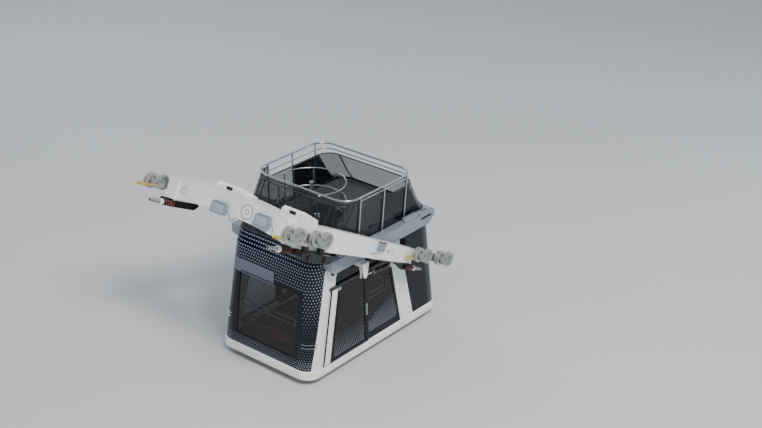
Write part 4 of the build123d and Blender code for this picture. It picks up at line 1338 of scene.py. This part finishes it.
    def build_bars(self) -> None:
        """Stand the slim bars between the panes and cap the panes with a channel."""
        bars = Shape()
        for distance, top in self.bar_spots():
            rings = []
            for z in self.bar_heights:
                if z <= top:
                    rings.append([OUTLINE.wrap(distance(z) + shift, z, self.pane_out + out)[0]
                                  for shift, out in self.bar])
            bars.loft(rings)
        bars.build("parapet_bars", self.body, FRAME_COAT, bevel=0.002)
        cap = Shape()
        out, step = self.pane_out - self.cap_depth, self.cap_step
        high = abs(OUTLINE.side_u(self.high_end, PANE_TOP, -1))
        low = abs(OUTLINE.side_u(self.high_end, PANEL_TOP, -1))
        end, arc, side = OUTLINE.lengths(PANEL_TOP)
        whole = 2 * end + 2 * arc + side
        path = OUTLINE.line(PANE_TOP, out, -high, high, step)
        path += OUTLINE.line(PANEL_TOP, out, low, whole, step)
        path += OUTLINE.line(PANEL_TOP, out, -whole + step, -low, step)
        cap.tube(path, self.cap_radius, 8, closed=True)
        cap.loft([OUTLINE.loop(z, self.pane_out - self.foot_depth + shift) for shift, z in self.foot_channel],
                 closed=True)
        cap.build("parapet_channels", self.body, FRAME_COAT)

    def build_panels(self) -> None:
        """Hang the plain dark panels on the downhill part of the parapet and print its corners."""
        panels, dots = Shape(), Shape()
        for side in (-1, 1):
            def ends(z: float, side: int = side) -> tuple[float, float]:
                """First and last distance of a row of the dark panel."""
                near = abs(OUTLINE.side_u(self.panel_start, z, -1))
                return side * near, side * (sum(OUTLINE.lengths(z)) + self.panel_past)
            wall_sheet(panels, self.panel_heights, ends, self.pane_out + self.panel_out, self.panel_thick)
            self.corner_dots.print(dots, *on_side(side, self.corner_first, self.corner_last))
            self.edge_dots.print(dots, *on_side(side, self.edge_first, self.corner_last))
        panels.build("parapet_dark_panels", self.body, DARK_GLAZING)
        dots.build("parapet_dots", self.body, FRIT_GREY)

    def corner_first(self, z: float) -> float:
        """Distance along the wall where the dots of a parapet corner start."""
        return sum(OUTLINE.lengths(z)) + self.dots_in

    def corner_last(self, z: float) -> float:
        """Distance along the wall where the dots of a parapet corner end."""
        return sum(OUTLINE.lengths(z)) + OUTLINE.lengths(z)[1] + self.dots_past

    def edge_first(self, z: float) -> float:
        """Distance along the wall where the dots of the deck's edge start."""
        return abs(OUTLINE.side_u(self.edge_start, z, -1))

    def build_stair(self) -> None:
        """Run the stair's handrail on balusters and edge its treads."""
        rail, nosings = Shape(), Shape()
        centre = cabin_point(*STAIR_CENTRE, 0)
        path = []
        for k in range(self.rail_points * (self.treads - 1) + 1):
            number = k / self.rail_points
            angle = radians(self.first_turn + self.turn * number)
            height = self.floor + self.rise * (number + 1) + self.rail_height
            path.append(centre + Vector((self.rail_reach * cos(angle), self.rail_reach * sin(angle), height)))
        rail.tube(path, self.rail_radius, 10)
        inward_reach, inward_lag = self.nosing_inner
        outward_reach, outward_lag = self.nosing_outer
        lift = Vector((0, 0, self.nosing_thick))
        for number in range(self.treads):
            angle = radians(self.first_turn + self.turn * number)
            out = Vector((cos(angle), sin(angle), 0))
            side = Vector((-sin(angle), cos(angle), 0))
            top = centre + Vector((0, 0, self.floor + self.rise * (number + 1)))
            seat = top + out * self.rail_reach
            rail.tube([seat - Vector((0, 0, self.baluster_sink)), seat + Vector((0, 0, self.rail_height))],
                      self.baluster_radius, 8)
            a = top + out * inward_reach - side * inward_lag
            b = top + out * outward_reach - side * outward_lag
            inward = side * self.nosing_width
            foot = [a, b, b + inward, a + inward]
            nosings.loft([foot, [corner + lift for corner in foot]])
        rail.build("stair_handrail", self.body, TUBE_STEEL)
        nosings.build("stair_nosings", self.body, YELLOW_ENAMEL)

    def desk_point(self, x: float, z: float) -> Vector:
        """Point in the desk's middle plane, in cabin measures."""
        return cabin_point(x, self.desk_y, z)

    def build_desk(self) -> None:
        """Fit the attendant's desk with a screen, buttons, levers and a door."""
        screen, keys = Shape(), Shape()
        slope = self.desk_slope.normalized()
        face = Place(self.desk_point(*self.screen_at), ACROSS, self.screen_up.normalized(),
                     self.screen_out.normalized())
        screen.prism(rounded(*self.screen_size), face, 0.0, self.screen_depth)
        tilt = Place(self.desk_point(*self.keys_at), ACROSS, -slope, self.keys_out)
        for k, y in enumerate(self.keys_y):
            keys.turned(tilt.moved(y, self.keys_stagger * (-1) ** k), self.key, 14)
        for y in self.levers_y:
            spot = face.at(y, self.lever_row)
            keys.tube([spot, spot + Vector((0, 0, self.lever_height))], self.lever_radius, 8)
        front = Place(self.desk_point(*self.desk_door_at), ACROSS, UPWARD, DOWNHILL)
        screen.prism(rounded(*self.desk_door), front, 0.0, self.desk_door_depth)
        screen.build("desk_screen_and_door", self.body, SEAL, bevel=0.002)
        keys.build("desk_buttons", self.body, TUBE_STEEL)

    def build_all(self) -> None:
        """Build every piece of the open deck."""
        self.build_cover()
        self.build_bars()
        self.build_panels()
        self.build_stair()
        self.build_desk()


@dataclass(frozen=True)
class Girders:
    """Dress of the two side girders: edge strips, flange, ring mark, nose plate and junction box."""

    body: str = "carriage"
    flange_bolt_gap: float = 0.001
    stroke_up: float = 0.015
    stroke_depths: tuple[float, float] = (-0.001, 0.003)
    nose_depths: tuple[float, float] = (-0.001, 0.010)
    box_sink: float = 0.002
    box_cover_depth: float = 0.008
    lid_depth: float = 0.016
    top_rows: tuple[tuple[float, float], ...] = (
        (-2.920, 0.380), (-2.300, 0.415), (-1.600, 0.420), (-0.900, 0.390), (2.020, 0.270))
    foot_start: float = -2.300
    foot_length: float = 4.300
    foot_rise: tuple[float, float] = (-0.130, 0.030)
    rim_start: float = -2.915
    rim_step: float = 0.115
    rim_rows: int = 43
    edge_strip: Rows = ((-0.001, 0.0), (0.006, 0.0), (0.006, 0.010), (-0.001, 0.010))
    top_lip: float = -0.012
    foot_lip: float = 0.002
    flange_ends: tuple[float, float] = (0.200, 1.470)
    flange: Rows = ((1.665, -0.014), (2.025, -0.014), (2.025, -0.001), (1.665, -0.001))
    flange_bolts: int = 7
    flange_bolt_start: float = 0.30
    flange_bolt_pitch: float = 0.18
    flange_bolt_y: float = 2.006
    mark_at: tuple[float, float] = (1.010, 0.100)
    mark_ring: tuple[float, float, float] = (0.078, 0.068, 0.003)
    strokes_x: tuple[float, ...] = (-0.190, -0.140)
    stroke: tuple[float, float, float] = (0.020, 0.105, 0.009)
    nose_at: tuple[float, float] = (2.025, 0.095)
    nose: Rows = (
        (-0.040, -0.180), (0.020, -0.160), (0.033, -0.100), (0.033, 0.120), (0.0, 0.150), (-0.040, 0.160))
    box_at: tuple[float, float] = (0.460, 0.205)
    box_size: tuple[float, float, float] = (0.250, 0.200, 0.025)
    box_depth: float = 0.075
    box_cover: tuple[float, float, float] = (0.210, 0.160, 0.018)
    conduit: tuple[tuple[float, float, float], ...] = (
        (-0.100, -0.080, 0.040), (-0.100, -0.135, 0.040), (-0.180, -0.190, 0.020), (-0.320, -0.200, 0.010))
    conduit_radius: float = 0.010
    lid_size: tuple[float, float, float] = (0.270, 0.105, 0.015)
    lid_at: tuple[float, float, float] = (0.0, 0.102, 0.038)

    def top(self, along: float) -> float:
        """Measure the girder's top face.

        Args:
            along: Distance down the rope.

        Returns:
            Its height, square to the rope.
        """
        for (t0, n0), (t1, n1) in zip(self.top_rows, self.top_rows[1:]):
            if along <= t1:
                break
        return n0 + (n1 - n0) * (along - t0) / (t1 - t0)

    def foot(self, along: float) -> float:
        """Height of the girder's underside, square to the rope."""
        start, rise = self.foot_rise
        return start + rise * (along - self.foot_start) / self.foot_length

    def build_side(self, side: str, sign: int) -> None:
        """Dress one girder.

        Args:
            side: Name of the side.
            sign: -1 near and 1 far.
        """
        outer = sign * GIRDER_OUTER
        steel, bolts, dark = Shape(), Shape(), Shape()
        rim = [self.rim_start + self.rim_step * k for k in range(self.rim_rows)]
        for face, out in ((GIRDER_OUTER, sign), (GIRDER_INNER, -sign)):
            for edge, lip in ((self.top, self.top_lip), (self.foot, self.foot_lip)):
                steel.loft([[rope_point(t, edge(t) + lip + dn, sign * face + out * dy)
                             for dy, dn in self.edge_strip] for t in rim])
        steel.build(f"girder_plates_{side}", self.body, WHITE_ENAMEL)
        flange = Shape()
        flange.loft([[rope_point(t, self.foot(t) + drop, sign * y) for y, drop in self.flange]
                     for t in self.flange_ends])
        flange.build(f"girder_flange_{side}", self.body, GREY_ENAMEL, bevel=0.003)
        for k in range(self.flange_bolts):
            t = self.flange_bolt_start + self.flange_bolt_pitch * k
            under = Place(rope_point(t, self.foot(t) - self.flange_bolt_gap, sign * self.flange_bolt_y), ALONG,
                          ACROSS, SQUARE)
            bolts.bolts(under, [(0.0, 0.0)], *FLANGE_BOLT)
        bolts.build(f"girder_bolts_{side}", self.body, BOLT_ZINC)
        mark = rope_side(*self.mark_at, outer, sign)
        dark.ring(mark, *self.mark_ring, 36)
        for x in self.strokes_x:
            dark.prism(rounded(*self.stroke, 3), mark.moved(x, self.stroke_up), *self.stroke_depths)
        dark.prism(self.nose, rope_side(*self.nose_at, outer, sign), *self.nose_depths)
        dark.build(f"girder_marks_{side}", self.body, SEAL, bevel=0.001)
        box = rope_side(*self.box_at, outer, sign)
        case = Shape()
        case.prism(rounded(*self.box_size), box, -self.box_sink, self.box_depth)
        front = box.moved(0, 0, self.box_depth)
        case.prism(rounded(*self.box_cover), front, 0.0, self.box_cover_depth)
        case.tube([box.at(*spot) for spot in self.conduit], self.conduit_radius, 8)
        case.build(f"junction_box_{side}", self.body, LAMP_COAT, bevel=0.004)
        lid = Shape()
        seat = Place(box.at(*self.lid_at), ALONG, ACROSS * sign, SQUARE)
        lid.prism(rounded(*self.lid_size), seat, 0.0, self.lid_depth)
        lid.build(f"junction_box_lid_{side}", self.body, VARNISHED_WOOD, bevel=0.004)

    def build_all(self) -> None:
        """Dress both girders."""
        for side, sign in SIDES:
            self.build_side(side, sign)


@dataclass(frozen=True)
class YokeDress:
    """Dress of the yoke: chords, ring marks, hoods' grilles and bolts, lamps' glass, fins and cables."""

    body: str = "carriage"
    mark_depth: float = 0.003
    bar_stand: float = 0.004
    lip_depths: tuple[float, float] = (-0.006, 0.012)
    seam_depths: tuple[float, float] = (-0.004, 0.006)
    lamp_glass_depths: tuple[float, float] = (0.001, 0.006)
    cell_stand: float = 0.006
    fin_back: float = 0.186
    fin_rise: float = 0.130
    fin_sink: float = 0.001
    face: float = -2.880
    lamps: tuple[tuple[float, float], ...] = ((0.220, 0.110), (-1.080, 0.190))
    hoods: tuple[tuple[float, float], ...] = ((0.250, 0.800), (-1.670, 0.620))
    half_span: float = 1.690
    top_arch: tuple[float, float] = (0.555, 0.125)
    foot_arch: tuple[float, float] = (0.030, 0.140)
    chord_start: float = -1.66
    chord_step: float = 0.083
    chord_rows: int = 41
    chord: Rows = ((-0.001, 0.0), (0.010, 0.0), (0.010, 0.016), (-0.001, 0.016))
    top_lip: float = -0.020
    foot_lip: float = 0.002
    ring_marks: tuple[tuple[float, float, float, float, int], ...] = (
        (0.235, -0.480, 0.175, 0.160, 48), (0.235, -0.480, 0.060, 0.050, 28), (0.170, 1.500, 0.075, 0.064, 28))
    hood_middle: tuple[float, float] = (-2.55, 0.47)
    hood_bolts: Rows = ((-0.22, -0.06), (-0.22, 0.10), (0.0, -0.06), (0.10, 0.06), (0.22, -0.06))
    grille_at: tuple[float, float] = (-2.770, 0.590)
    grille_bars: int = 6
    grille_foot: float = -0.033
    grille_pitch: float = 0.013
    grille_bar: Rows = ((-0.112, 0.0), (0.112, 0.0), (0.112, 0.006), (-0.112, 0.006))
    grille_depth: float = 0.022
    lip_at: tuple[float, float] = (-2.806, 0.634)
    lip: Rows = ((-0.150, 0.0), (0.150, 0.0), (0.150, 0.008), (-0.150, 0.008))
    seam_at: tuple[float, float] = (-2.55, 0.634)
    seam: Rows = ((-0.18, -0.012), (0.26, -0.012), (0.26, 0.012), (-0.18, 0.012))
    seam_share: float = 0.30
    roof_slope: tuple[float, float] = (0.973, 0.229)
    lamp_stand: float = 0.060
    lamp_depth: float = 0.130
    bezel_corner: float = 0.03
    bezel: tuple[tuple[float, float, float], ...] = (
        (0.396, 0.256, -0.004), (0.396, 0.256, 0.010), (0.340, 0.200, 0.010), (0.340, 0.200, 0.001))
    lamp_glass: tuple[float, float, float] = (0.336, 0.196, 0.020)
    cell_columns: tuple[float, float, int] = (-0.124, 0.062, 5)
    cell_rows: tuple[float, float, int] = (-0.060, 0.060, 3)
    cell_ring: tuple[float, float, float] = (0.024, 0.017, 0.003)
    cell_sides: int = 14
    fins: int = 9
    fin_start: float = -0.16
    fin_pitch: float = 0.04
    fin: Rows = ((0.0, -0.004), (0.120, -0.004), (0.120, 0.004), (0.0, 0.004))
    fin_depth: float = 0.022
    cable: float = 0.014
    cable_end_across: float = 0.30
    cable_lengths: dict[str, float] = field(default_factory=lambda: {"far": 0.52, "near": 0.68})

    def top(self, y: float) -> float:
        """Height of the yoke's top at a place across the line."""
        middle, fall = self.top_arch
        return middle - fall * (y / self.half_span) ** 2

    def foot(self, y: float) -> float:
        """Height of the yoke's underside at a place across the line."""
        middle, fall = self.foot_arch
        return middle - fall * (y / self.half_span) ** 2

    def build_chords(self) -> None:
        """Edge the yoke's face with welded chords, paint its ring marks and bolt the hoods on."""
        chords, bolts, mark = Shape(), Shape(), Shape()
        spots = [self.chord_start + self.chord_step * k for k in range(self.chord_rows)]
        for edge, lip in ((self.top, self.top_lip), (self.foot, self.foot_lip)):
            chords.loft([[rope_point(self.face - dt, edge(y) + lip + dn, y) for dt, dn in self.chord]
                         for y in spots])
        chords.build("yoke_chords", self.body, WHITE_ENAMEL)
        for rise, y, outer, inner, sides in self.ring_marks:
            mark.ring(rope_front(self.face, rise, y), outer, inner, self.mark_depth, sides)
        mark.build("yoke_ring_mark", self.body, SEAL)
        for y, width in self.hoods:
            for side in (-1, 1):
                cheek = Place(rope_point(*self.hood_middle, y + side * width / 2), ALONG, SQUARE, ACROSS * side)
                bolts.bolts(cheek, self.hood_bolts, *COVER_BOLT)
        bolts.build("yoke_bolts", self.body, BOLT_ZINC)

    def build_hoods(self) -> None:
        """Set a dark grille in each hood's window, a lip over it and two seams on its roof."""
        grilles, lips = Shape(), Shape()
        level, drop = self.roof_slope
        for y, width in self.hoods:
            front = rope_front(*self.grille_at, y)
            for k in range(self.grille_bars):
                bar = front.moved(0, self.grille_foot + self.grille_pitch * k, self.bar_stand)
                grilles.prism(self.grille_bar, bar, 0.0, self.grille_depth)
            lips.prism(self.lip, rope_front(*self.lip_at, y), *self.lip_depths)
            for sign in (-1, 1):
                seam = rope_point(*self.seam_at, y + sign * width * self.seam_share)
                lips.prism(self.seam, Place(seam, (ALONG * level - SQUARE * drop).normalized(), ACROSS,
                                            (SQUARE * level + ALONG * drop).normalized()), *self.seam_depths)
        grilles.build("hood_grilles", self.body, SEAL)
        lips.build("hood_lips", self.body, WHITE_ENAMEL, bevel=0.002)

    def build_lamps(self) -> None:
        """Glaze the work lamps and fit their cells, bezels and cooling fins."""
        glass, cells, bezels = Shape(), Shape(), Shape()
        for y, rise in self.lamps:
            front = rope_front(self.face - self.lamp_stand - self.lamp_depth, rise, y)
            bezels.loft([[front.at(a, b, depth) for a, b in rounded(width, height, self.bezel_corner)]
                         for width, height, depth in self.bezel])
            glass.prism(rounded(*self.lamp_glass), front, *self.lamp_glass_depths)
            first_x, pitch_x, columns = self.cell_columns
            first_y, pitch_y, rows = self.cell_rows
            for i in range(columns):
                for j in range(rows):
                    spot = front.moved(first_x + pitch_x * i, first_y + pitch_y * j, self.cell_stand)
                    cells.ring(spot, *self.cell_ring, self.cell_sides)
            for k in range(self.fins):
                across = y + self.fin_start + self.fin_pitch * k
                fin = Place(rope_point(self.face - self.fin_back, rise + self.fin_rise, across), ALONG, ACROSS,
                            SQUARE)
                bezels.prism(self.fin, fin, -self.fin_sink, self.fin_depth)
        bezels.build("lamp_bezels", self.body, LAMP_COAT)
        glass.build("lamp_glasses", self.body, LAMP_GLASS, bevel=0.002)
        cells.build("lamp_cells", self.body, GREY_ENAMEL)

    def hang_cables(self) -> None:
        """Hang each lamp's cable: out of its side, down past the yoke's edge and up into its underside."""
        for side, (y, rise) in zip(("far", "near"), self.lamps):
            foot = self.foot(y - self.cable_end_across)
            route = [rope_point(self.face + dt, height, y - across) for dt, height, across in (
                (-0.090, rise - 0.02, 0.190), (-0.090, rise - 0.02, 0.240), (-0.092, rise - 0.05, 0.290),
                (-0.085, rise - 0.12, 0.315), (-0.060, foot - 0.07, 0.320), (-0.015, foot - 0.120, 0.315),
                (0.070, foot - 0.125, 0.305), (0.130, foot - 0.070, 0.300), (0.135, foot + 0.012, 0.300))]
            line = bpy.data.curves.new(f"lamp_cable_{side}", "CURVE")
            line.dimensions = "3D"
            line.bevel_depth = self.cable / 2
            line.bevel_resolution = 3
            line.use_fill_caps = True
            spline = line.splines.new("NURBS")
            spline.points.add(len(route) - 1)
            for point, place in zip(spline.points, route):
                point.co = (*place, 1.0)
            spline.order_u = 3
            spline.use_endpoint_u = True
            line.materials.append(SEAL.make())
            cable = bpy.data.objects.new(line.name, line)
            bpy.context.scene.collection.objects.link(cable)
            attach(cable, self.body)
            log.info("%s: %d points on %s", line.name, len(route), self.body)

    def build_all(self) -> None:
        """Dress the yoke."""
        self.build_chords()
        self.build_hoods()
        self.build_lamps()
        self.hang_cables()


@dataclass(frozen=True)
class RunningGear:
    """Dress of the sixteen wheels, their rockers and trucks, the haul gear, the brakes and the cylinders."""

    body: str = "carriage"
    liner: Rows = (
        (0.1502, -0.024), (0.1512, -0.020), (0.1512, 0.020), (0.1502, 0.024), (0.1490, 0.024),
        (0.1490, -0.024))
    liner_spans: int = 48
    web_half: float = 0.014
    studs: int = 6
    stud_circle: float = 0.122
    stud_turn: float = pi / 6
    web_ring: tuple[float, float, float, int] = (0.060, 0.052, 0.004, 28)
    plate_reach: float = 0.072
    axle_cap: Rows = (
        (-0.001, 0.040), (0.004, 0.040), (0.004, 0.034), (0.018, 0.032), (0.021, 0.026), (0.021, 0.010))
    rocker_stations: tuple[float, ...] = (-0.5055, 0.5055)
    rocker_rise: float = 0.075
    rocker_cap: Rows = ((-0.001, 0.044), (0.006, 0.044), (0.008, 0.040), (0.014, 0.026), (0.014, 0.008))
    rocker_bolts: Rows = ((-0.10, 0.035), (0.10, 0.035), (-0.05, 0.055), (0.05, 0.055))
    main_pin_rise: float = 0.165
    main_pin_inset: float = 0.078
    main_pin: Rows = (
        (-0.001, 0.098), (0.008, 0.098), (0.012, 0.092), (0.012, 0.030), (0.016, 0.026), (0.016, 0.006))
    main_pin_seat: float = 0.012
    main_pin_bolts: int = 6
    main_pin_circle: float = 0.064
    haul_starts: tuple[tuple[int, float], ...] = ((-1, 2.300), (1, 1.500))
    haul_rise: float = -0.230
    haul_y: float = 1.840
    drum_start: float = 0.400
    red_rings: tuple[float, float, int] = (0.055, 0.088, 4)
    red_ring: Rows = ((-0.002, 0.068), (0.004, 0.074), (0.022, 0.074), (0.028, 0.068))
    collars: tuple[float, float, int] = (0.410, 0.060, 2)
    collar: Rows = ((0.0, 0.062), (0.010, 0.072), (0.030, 0.072), (0.040, 0.062))
    clamps: tuple[float, ...] = (0.060, 0.170)
    clamp_rise: float = -0.150
    clamp_half: float = 0.030
    brake_at: tuple[float, float, float] = (-2.200, -0.250, 2.230)
    brake_bolts_along: tuple[float, ...] = (-0.50, -0.16, 0.0, 0.16, 0.50)
    brake_bolts_up: tuple[float, ...] = (-0.065, 0.060)
    cylinder_foot: Vector = Vector((1.300, 0, -0.900))
    cylinder_eye: Vector = Vector((0.250, 0, -0.800))
    cylinder_y: float = 1.700
    barrel_bands: Rows = ((0.125, 0.030), (0.430, 0.014), (0.706, 0.034))
    barrel_radius: float = 0.064
    band_radius: float = 0.067
    band_edge: float = 0.003
    ports: tuple[float, ...] = (0.165, 0.665)
    port_rise: float = 0.060
    port: Rows = ((-0.002, 0.016), (0.014, 0.016), (0.014, 0.011), (0.024, 0.011))
    pipe: Rows = ((0.165, 0.080), (0.190, 0.086), (0.640, 0.086), (0.665, 0.080))
    pipe_radius: float = 0.006

    def build_wheels(self) -> None:
        """Line every wheel's groove and bolt its web."""
        for side, sign in SIDES:
            for end, way in ENDS:
                for number, station in enumerate(WHEEL_STATIONS, 1):
                    name = f"{side}_{end}_{number}"
                    hub = rope_side(way * GROUP_OFFSET + station, AXLE_RISE, sign * TRACK_HALF, sign)
                    liner = Shape()
                    rims = zip(*(circle(radius, self.liner_spans) for radius, _ in self.liner))
                    liner.loft([[hub.at(*spot, depth) for (_, depth), spot in zip(self.liner, rim)]
                                for rim in rims], closed=True)
                    liner.build(f"liner_{name}", f"wheel_{name}", LINER)
                    studs = Shape()
                    for face in (-1, 1):
                        web = Place(hub.at(0, 0, face * self.web_half), hub.right, hub.up, hub.out * face)
                        turns = [self.stud_turn + pi / 3 * k for k in range(self.studs)]
                        spots = [(self.stud_circle * cos(turn), self.stud_circle * sin(turn)) for turn in turns]
                        studs.bolts(web, spots, *WHEEL_STUD)
                        studs.ring(web, *self.web_ring)
                    studs.build(f"wheel_studs_{name}", f"wheel_{name}", BOLT_ZINC)

    def build_rockers(self) -> None:
        """Cap the axles and rocker pins, and bolt the trucks."""
        for side, sign in SIDES:
            for end, way in ENDS:
                caps, bolts = Shape(), Shape()
                middle = way * GROUP_OFFSET
                for face in (-1, 1):
                    reach = sign * TRACK_HALF + face * self.plate_reach
                    for station in WHEEL_STATIONS:
                        caps.turned(rope_side(middle + station, AXLE_RISE, reach, face), self.axle_cap, 24)
                    for station in self.rocker_stations:
                        place = rope_side(middle + station, self.rocker_rise, reach, face)
                        if face == sign:
                            caps.turned(place, self.rocker_cap, 24)
                            bolts.bolts(place, self.rocker_bolts, *ROCKER_BOLT)
                pin = rope_side(middle, self.main_pin_rise, sign * (TRACK_HALF - self.main_pin_inset), sign)
                caps.turned(pin, self.main_pin, 36)
                spots = circle(self.main_pin_circle, self.main_pin_bolts)
                bolts.bolts(pin.moved(0, 0, self.main_pin_seat), spots, *COVER_BOLT)
                caps.build(f"axle_caps_{side}_{end}", self.body, GALVANISED, bevel=0.001)
                bolts.build(f"rocker_bolts_{side}_{end}", self.body, BOLT_ZINC)

    def build_haul(self) -> None:
        """Wrap the buffers in red rings, and fit the sockets' collars and bolts."""
        red, pale, steel = Shape(), Shape(), Shape()
        for _, sign in SIDES:
            for way, start in self.haul_starts:
                for shape, (first, pitch, count), profile in (
                        (red, self.red_rings, self.red_ring), (pale, self.collars, self.collar)):
                    for k in range(count):
                        along = way * (start + self.drum_start + first + pitch * k)
                        seat = Place(rope_point(along, self.haul_rise, sign * self.haul_y), ACROSS, SQUARE,
                                     ALONG * way)
                        shape.turned(seat, profile, 28)
                for t in self.clamps:
                    clamp = rope_point(way * (start + t), self.clamp_rise, sign * self.haul_y)
                    for out in (ACROSS, -ACROSS):
                        seat = Place(clamp + out * self.clamp_half, ALONG, SQUARE, out)
                        steel.bolts(seat, [(0.0, 0.0)], *CLAMP_BOLT)
        red.build("buffer_rings", self.body, BUFFER_RED)
        pale.build("socket_collars", self.body, WHITE_ENAMEL)
        steel.build("haul_bolts", self.body, BOLT_ZINC)

    def build_brakes(self) -> None:
        """Bolt the brake bodies together."""
        bolts = Shape()
        along, rise, y = self.brake_at
        for _, sign in SIDES:
            face = rope_side(along, rise, sign * y, sign)
            spots = [(x, up) for x in self.brake_bolts_along for up in self.brake_bolts_up]
            bolts.bolts(face, spots, *BRAKE_BOLT)
        bolts.build("brake_bolts", self.body, BLACK_PAINT)

    def build_cylinders(self) -> None:
        """Ring the levelling cylinders' barrels, and give each two ports joined by a pipe."""
        foot, eye = self.cylinder_foot, self.cylinder_eye
        axis = (eye - foot).normalized()
        square = ACROSS.cross(axis).normalized()
        if square.z < 0:
            square.negate()
        for side, sign in SIDES:
            base = foot + Vector((0, sign * self.cylinder_y, 0))
            rings = Shape()
            for along, width in self.barrel_bands:
                band = [(0.0, self.barrel_radius), (self.band_edge, self.band_radius),
                        (width - self.band_edge, self.band_radius), (width, self.barrel_radius)]
                rings.turned(Place(base + axis * along, square, ACROSS, axis), band, 36)
            for along in self.ports:
                port = Place(base + axis * along + square * self.port_rise, axis, ACROSS, square)
                rings.turned(port, self.port, 16)
            rings.build(f"cylinder_rings_{side}", f"cylinder_{side}", BOLT_ZINC)
            pipe = Shape()
            pipe.tube([base + axis * along + square * rise for along, rise in self.pipe], self.pipe_radius, 8)
            pipe.build(f"cylinder_pipe_{side}", f"cylinder_{side}", TUBE_STEEL)

    def build_all(self) -> None:
        """Dress the running gear."""
        self.build_wheels()
        self.build_rockers()
        self.build_haul()
        self.build_brakes()
        self.build_cylinders()


# Matt paper under the object: even and pale, so that only the soft shadow shows on it
STUDIO_PAPER = Finish("matt_studio_paper", Slot.WHITE, "#cfd1d1", "#cacccc", 0.9, pattern_mm=4000.0)


@dataclass(frozen=True)
class Lamp:
    """One square soft lamp, aimed at the object."""

    name: str
    place: tuple[float, float, float]
    size: float
    watts: float
    tint: str


@dataclass(frozen=True)
class Studio:
    """Camera, lamps and floor round the object."""

    aim: Vector = Vector((1.282, -1.368, 0.365))
    distance: float = 34.1
    heading: float = 37.81
    dip: float = 25.56
    roll: float = 1.70
    focal_px: float = 1400.0
    sensor_mm: float = 36.0
    floor_half: float = 60.0
    floor_z: float = -3.30
    sight: float = 500.0
    sky_tint: str = "#dfe8f2"
    sky_strength: float = 0.65
    lamps: tuple[Lamp, ...] = (
        Lamp("key", (-10, -20, 26), 8, 11500, "#fff8ee"),
        Lamp("fill", (24, -12, 10), 12, 1300, "#e6efff"),
        Lamp("back", (8, 26, 16), 14, 2000, "#eef3ff"),
    )

    def place_camera(self) -> None:
        """Set up the camera at the photograph's angle, distance and focal length."""
        turn, drop, lean = radians(self.heading), radians(self.dip), radians(self.roll)
        ahead = Vector((cos(turn) * cos(drop), sin(turn) * cos(drop), -sin(drop)))
        right = Vector((sin(turn), -cos(turn), 0))
        up = right.cross(ahead)
        right, up = cos(lean) * right + sin(lean) * up, cos(lean) * up - sin(lean) * right
        lens = bpy.data.cameras.new("camera")
        lens.sensor_width = self.sensor_mm
        lens.lens = self.focal_px / IMAGE_WIDTH_PX * self.sensor_mm
        lens.clip_end = self.sight
        camera = bpy.data.objects.new("camera", lens)
        camera.matrix_world = Matrix.Translation(self.aim - self.distance * ahead) @ Matrix(
            (right, up, -ahead)
        ).transposed().to_4x4()
        bpy.context.scene.collection.objects.link(camera)
        bpy.context.scene.camera = camera

    def place_lamps(self) -> None:
        """Light the object with one large soft lamp, a weaker one opposite and a pale sky."""
        for lamp in self.lamps:
            light = bpy.data.lights.new(lamp.name, "AREA")
            light.size = lamp.size
            light.energy = lamp.watts
            light.color = linear(lamp.tint)[:3]
            stand = bpy.data.objects.new(lamp.name, light)
            stand.location = lamp.place
            stand.rotation_euler = (self.aim - Vector(lamp.place)).to_track_quat("-Z", "Y").to_euler()
            bpy.context.scene.collection.objects.link(stand)
        world = bpy.context.scene.world or bpy.data.worlds.new("sky")
        bpy.context.scene.world = world
        world.use_nodes = True
        sky = world.node_tree.nodes["Background"]
        sky.inputs["Color"].default_value = linear(self.sky_tint)
        sky.inputs["Strength"].default_value = self.sky_strength

    def lay_floor(self) -> None:
        """Lay the plain pale floor under the cabin."""
        half, z = self.floor_half, self.floor_z
        mesh = bpy.data.meshes.new("floor")
        corners = [(-half, -half, z), (half, -half, z), (half, half, z), (-half, half, z)]
        mesh.from_pydata(corners, [], [(0, 1, 2, 3)])
        floor = bpy.data.objects.new("studio_floor", mesh)
        bpy.context.scene.collection.objects.link(floor)
        mesh.materials.append(STUDIO_PAPER.make())


def main() -> None:
    """Build everything in order."""
    logging.basicConfig(level=logging.INFO, format="%(message)s")
    studio = Studio()
    studio.place_camera()
    dress_nodes()
    for assembly in (LowerCabin(), Doors(), UpperDeck(), Girders(), YokeDress(), RunningGear()):
        assembly.build_all()
    studio.lay_floor()
    studio.place_lamps()


if __name__ == "__main__":
    main()
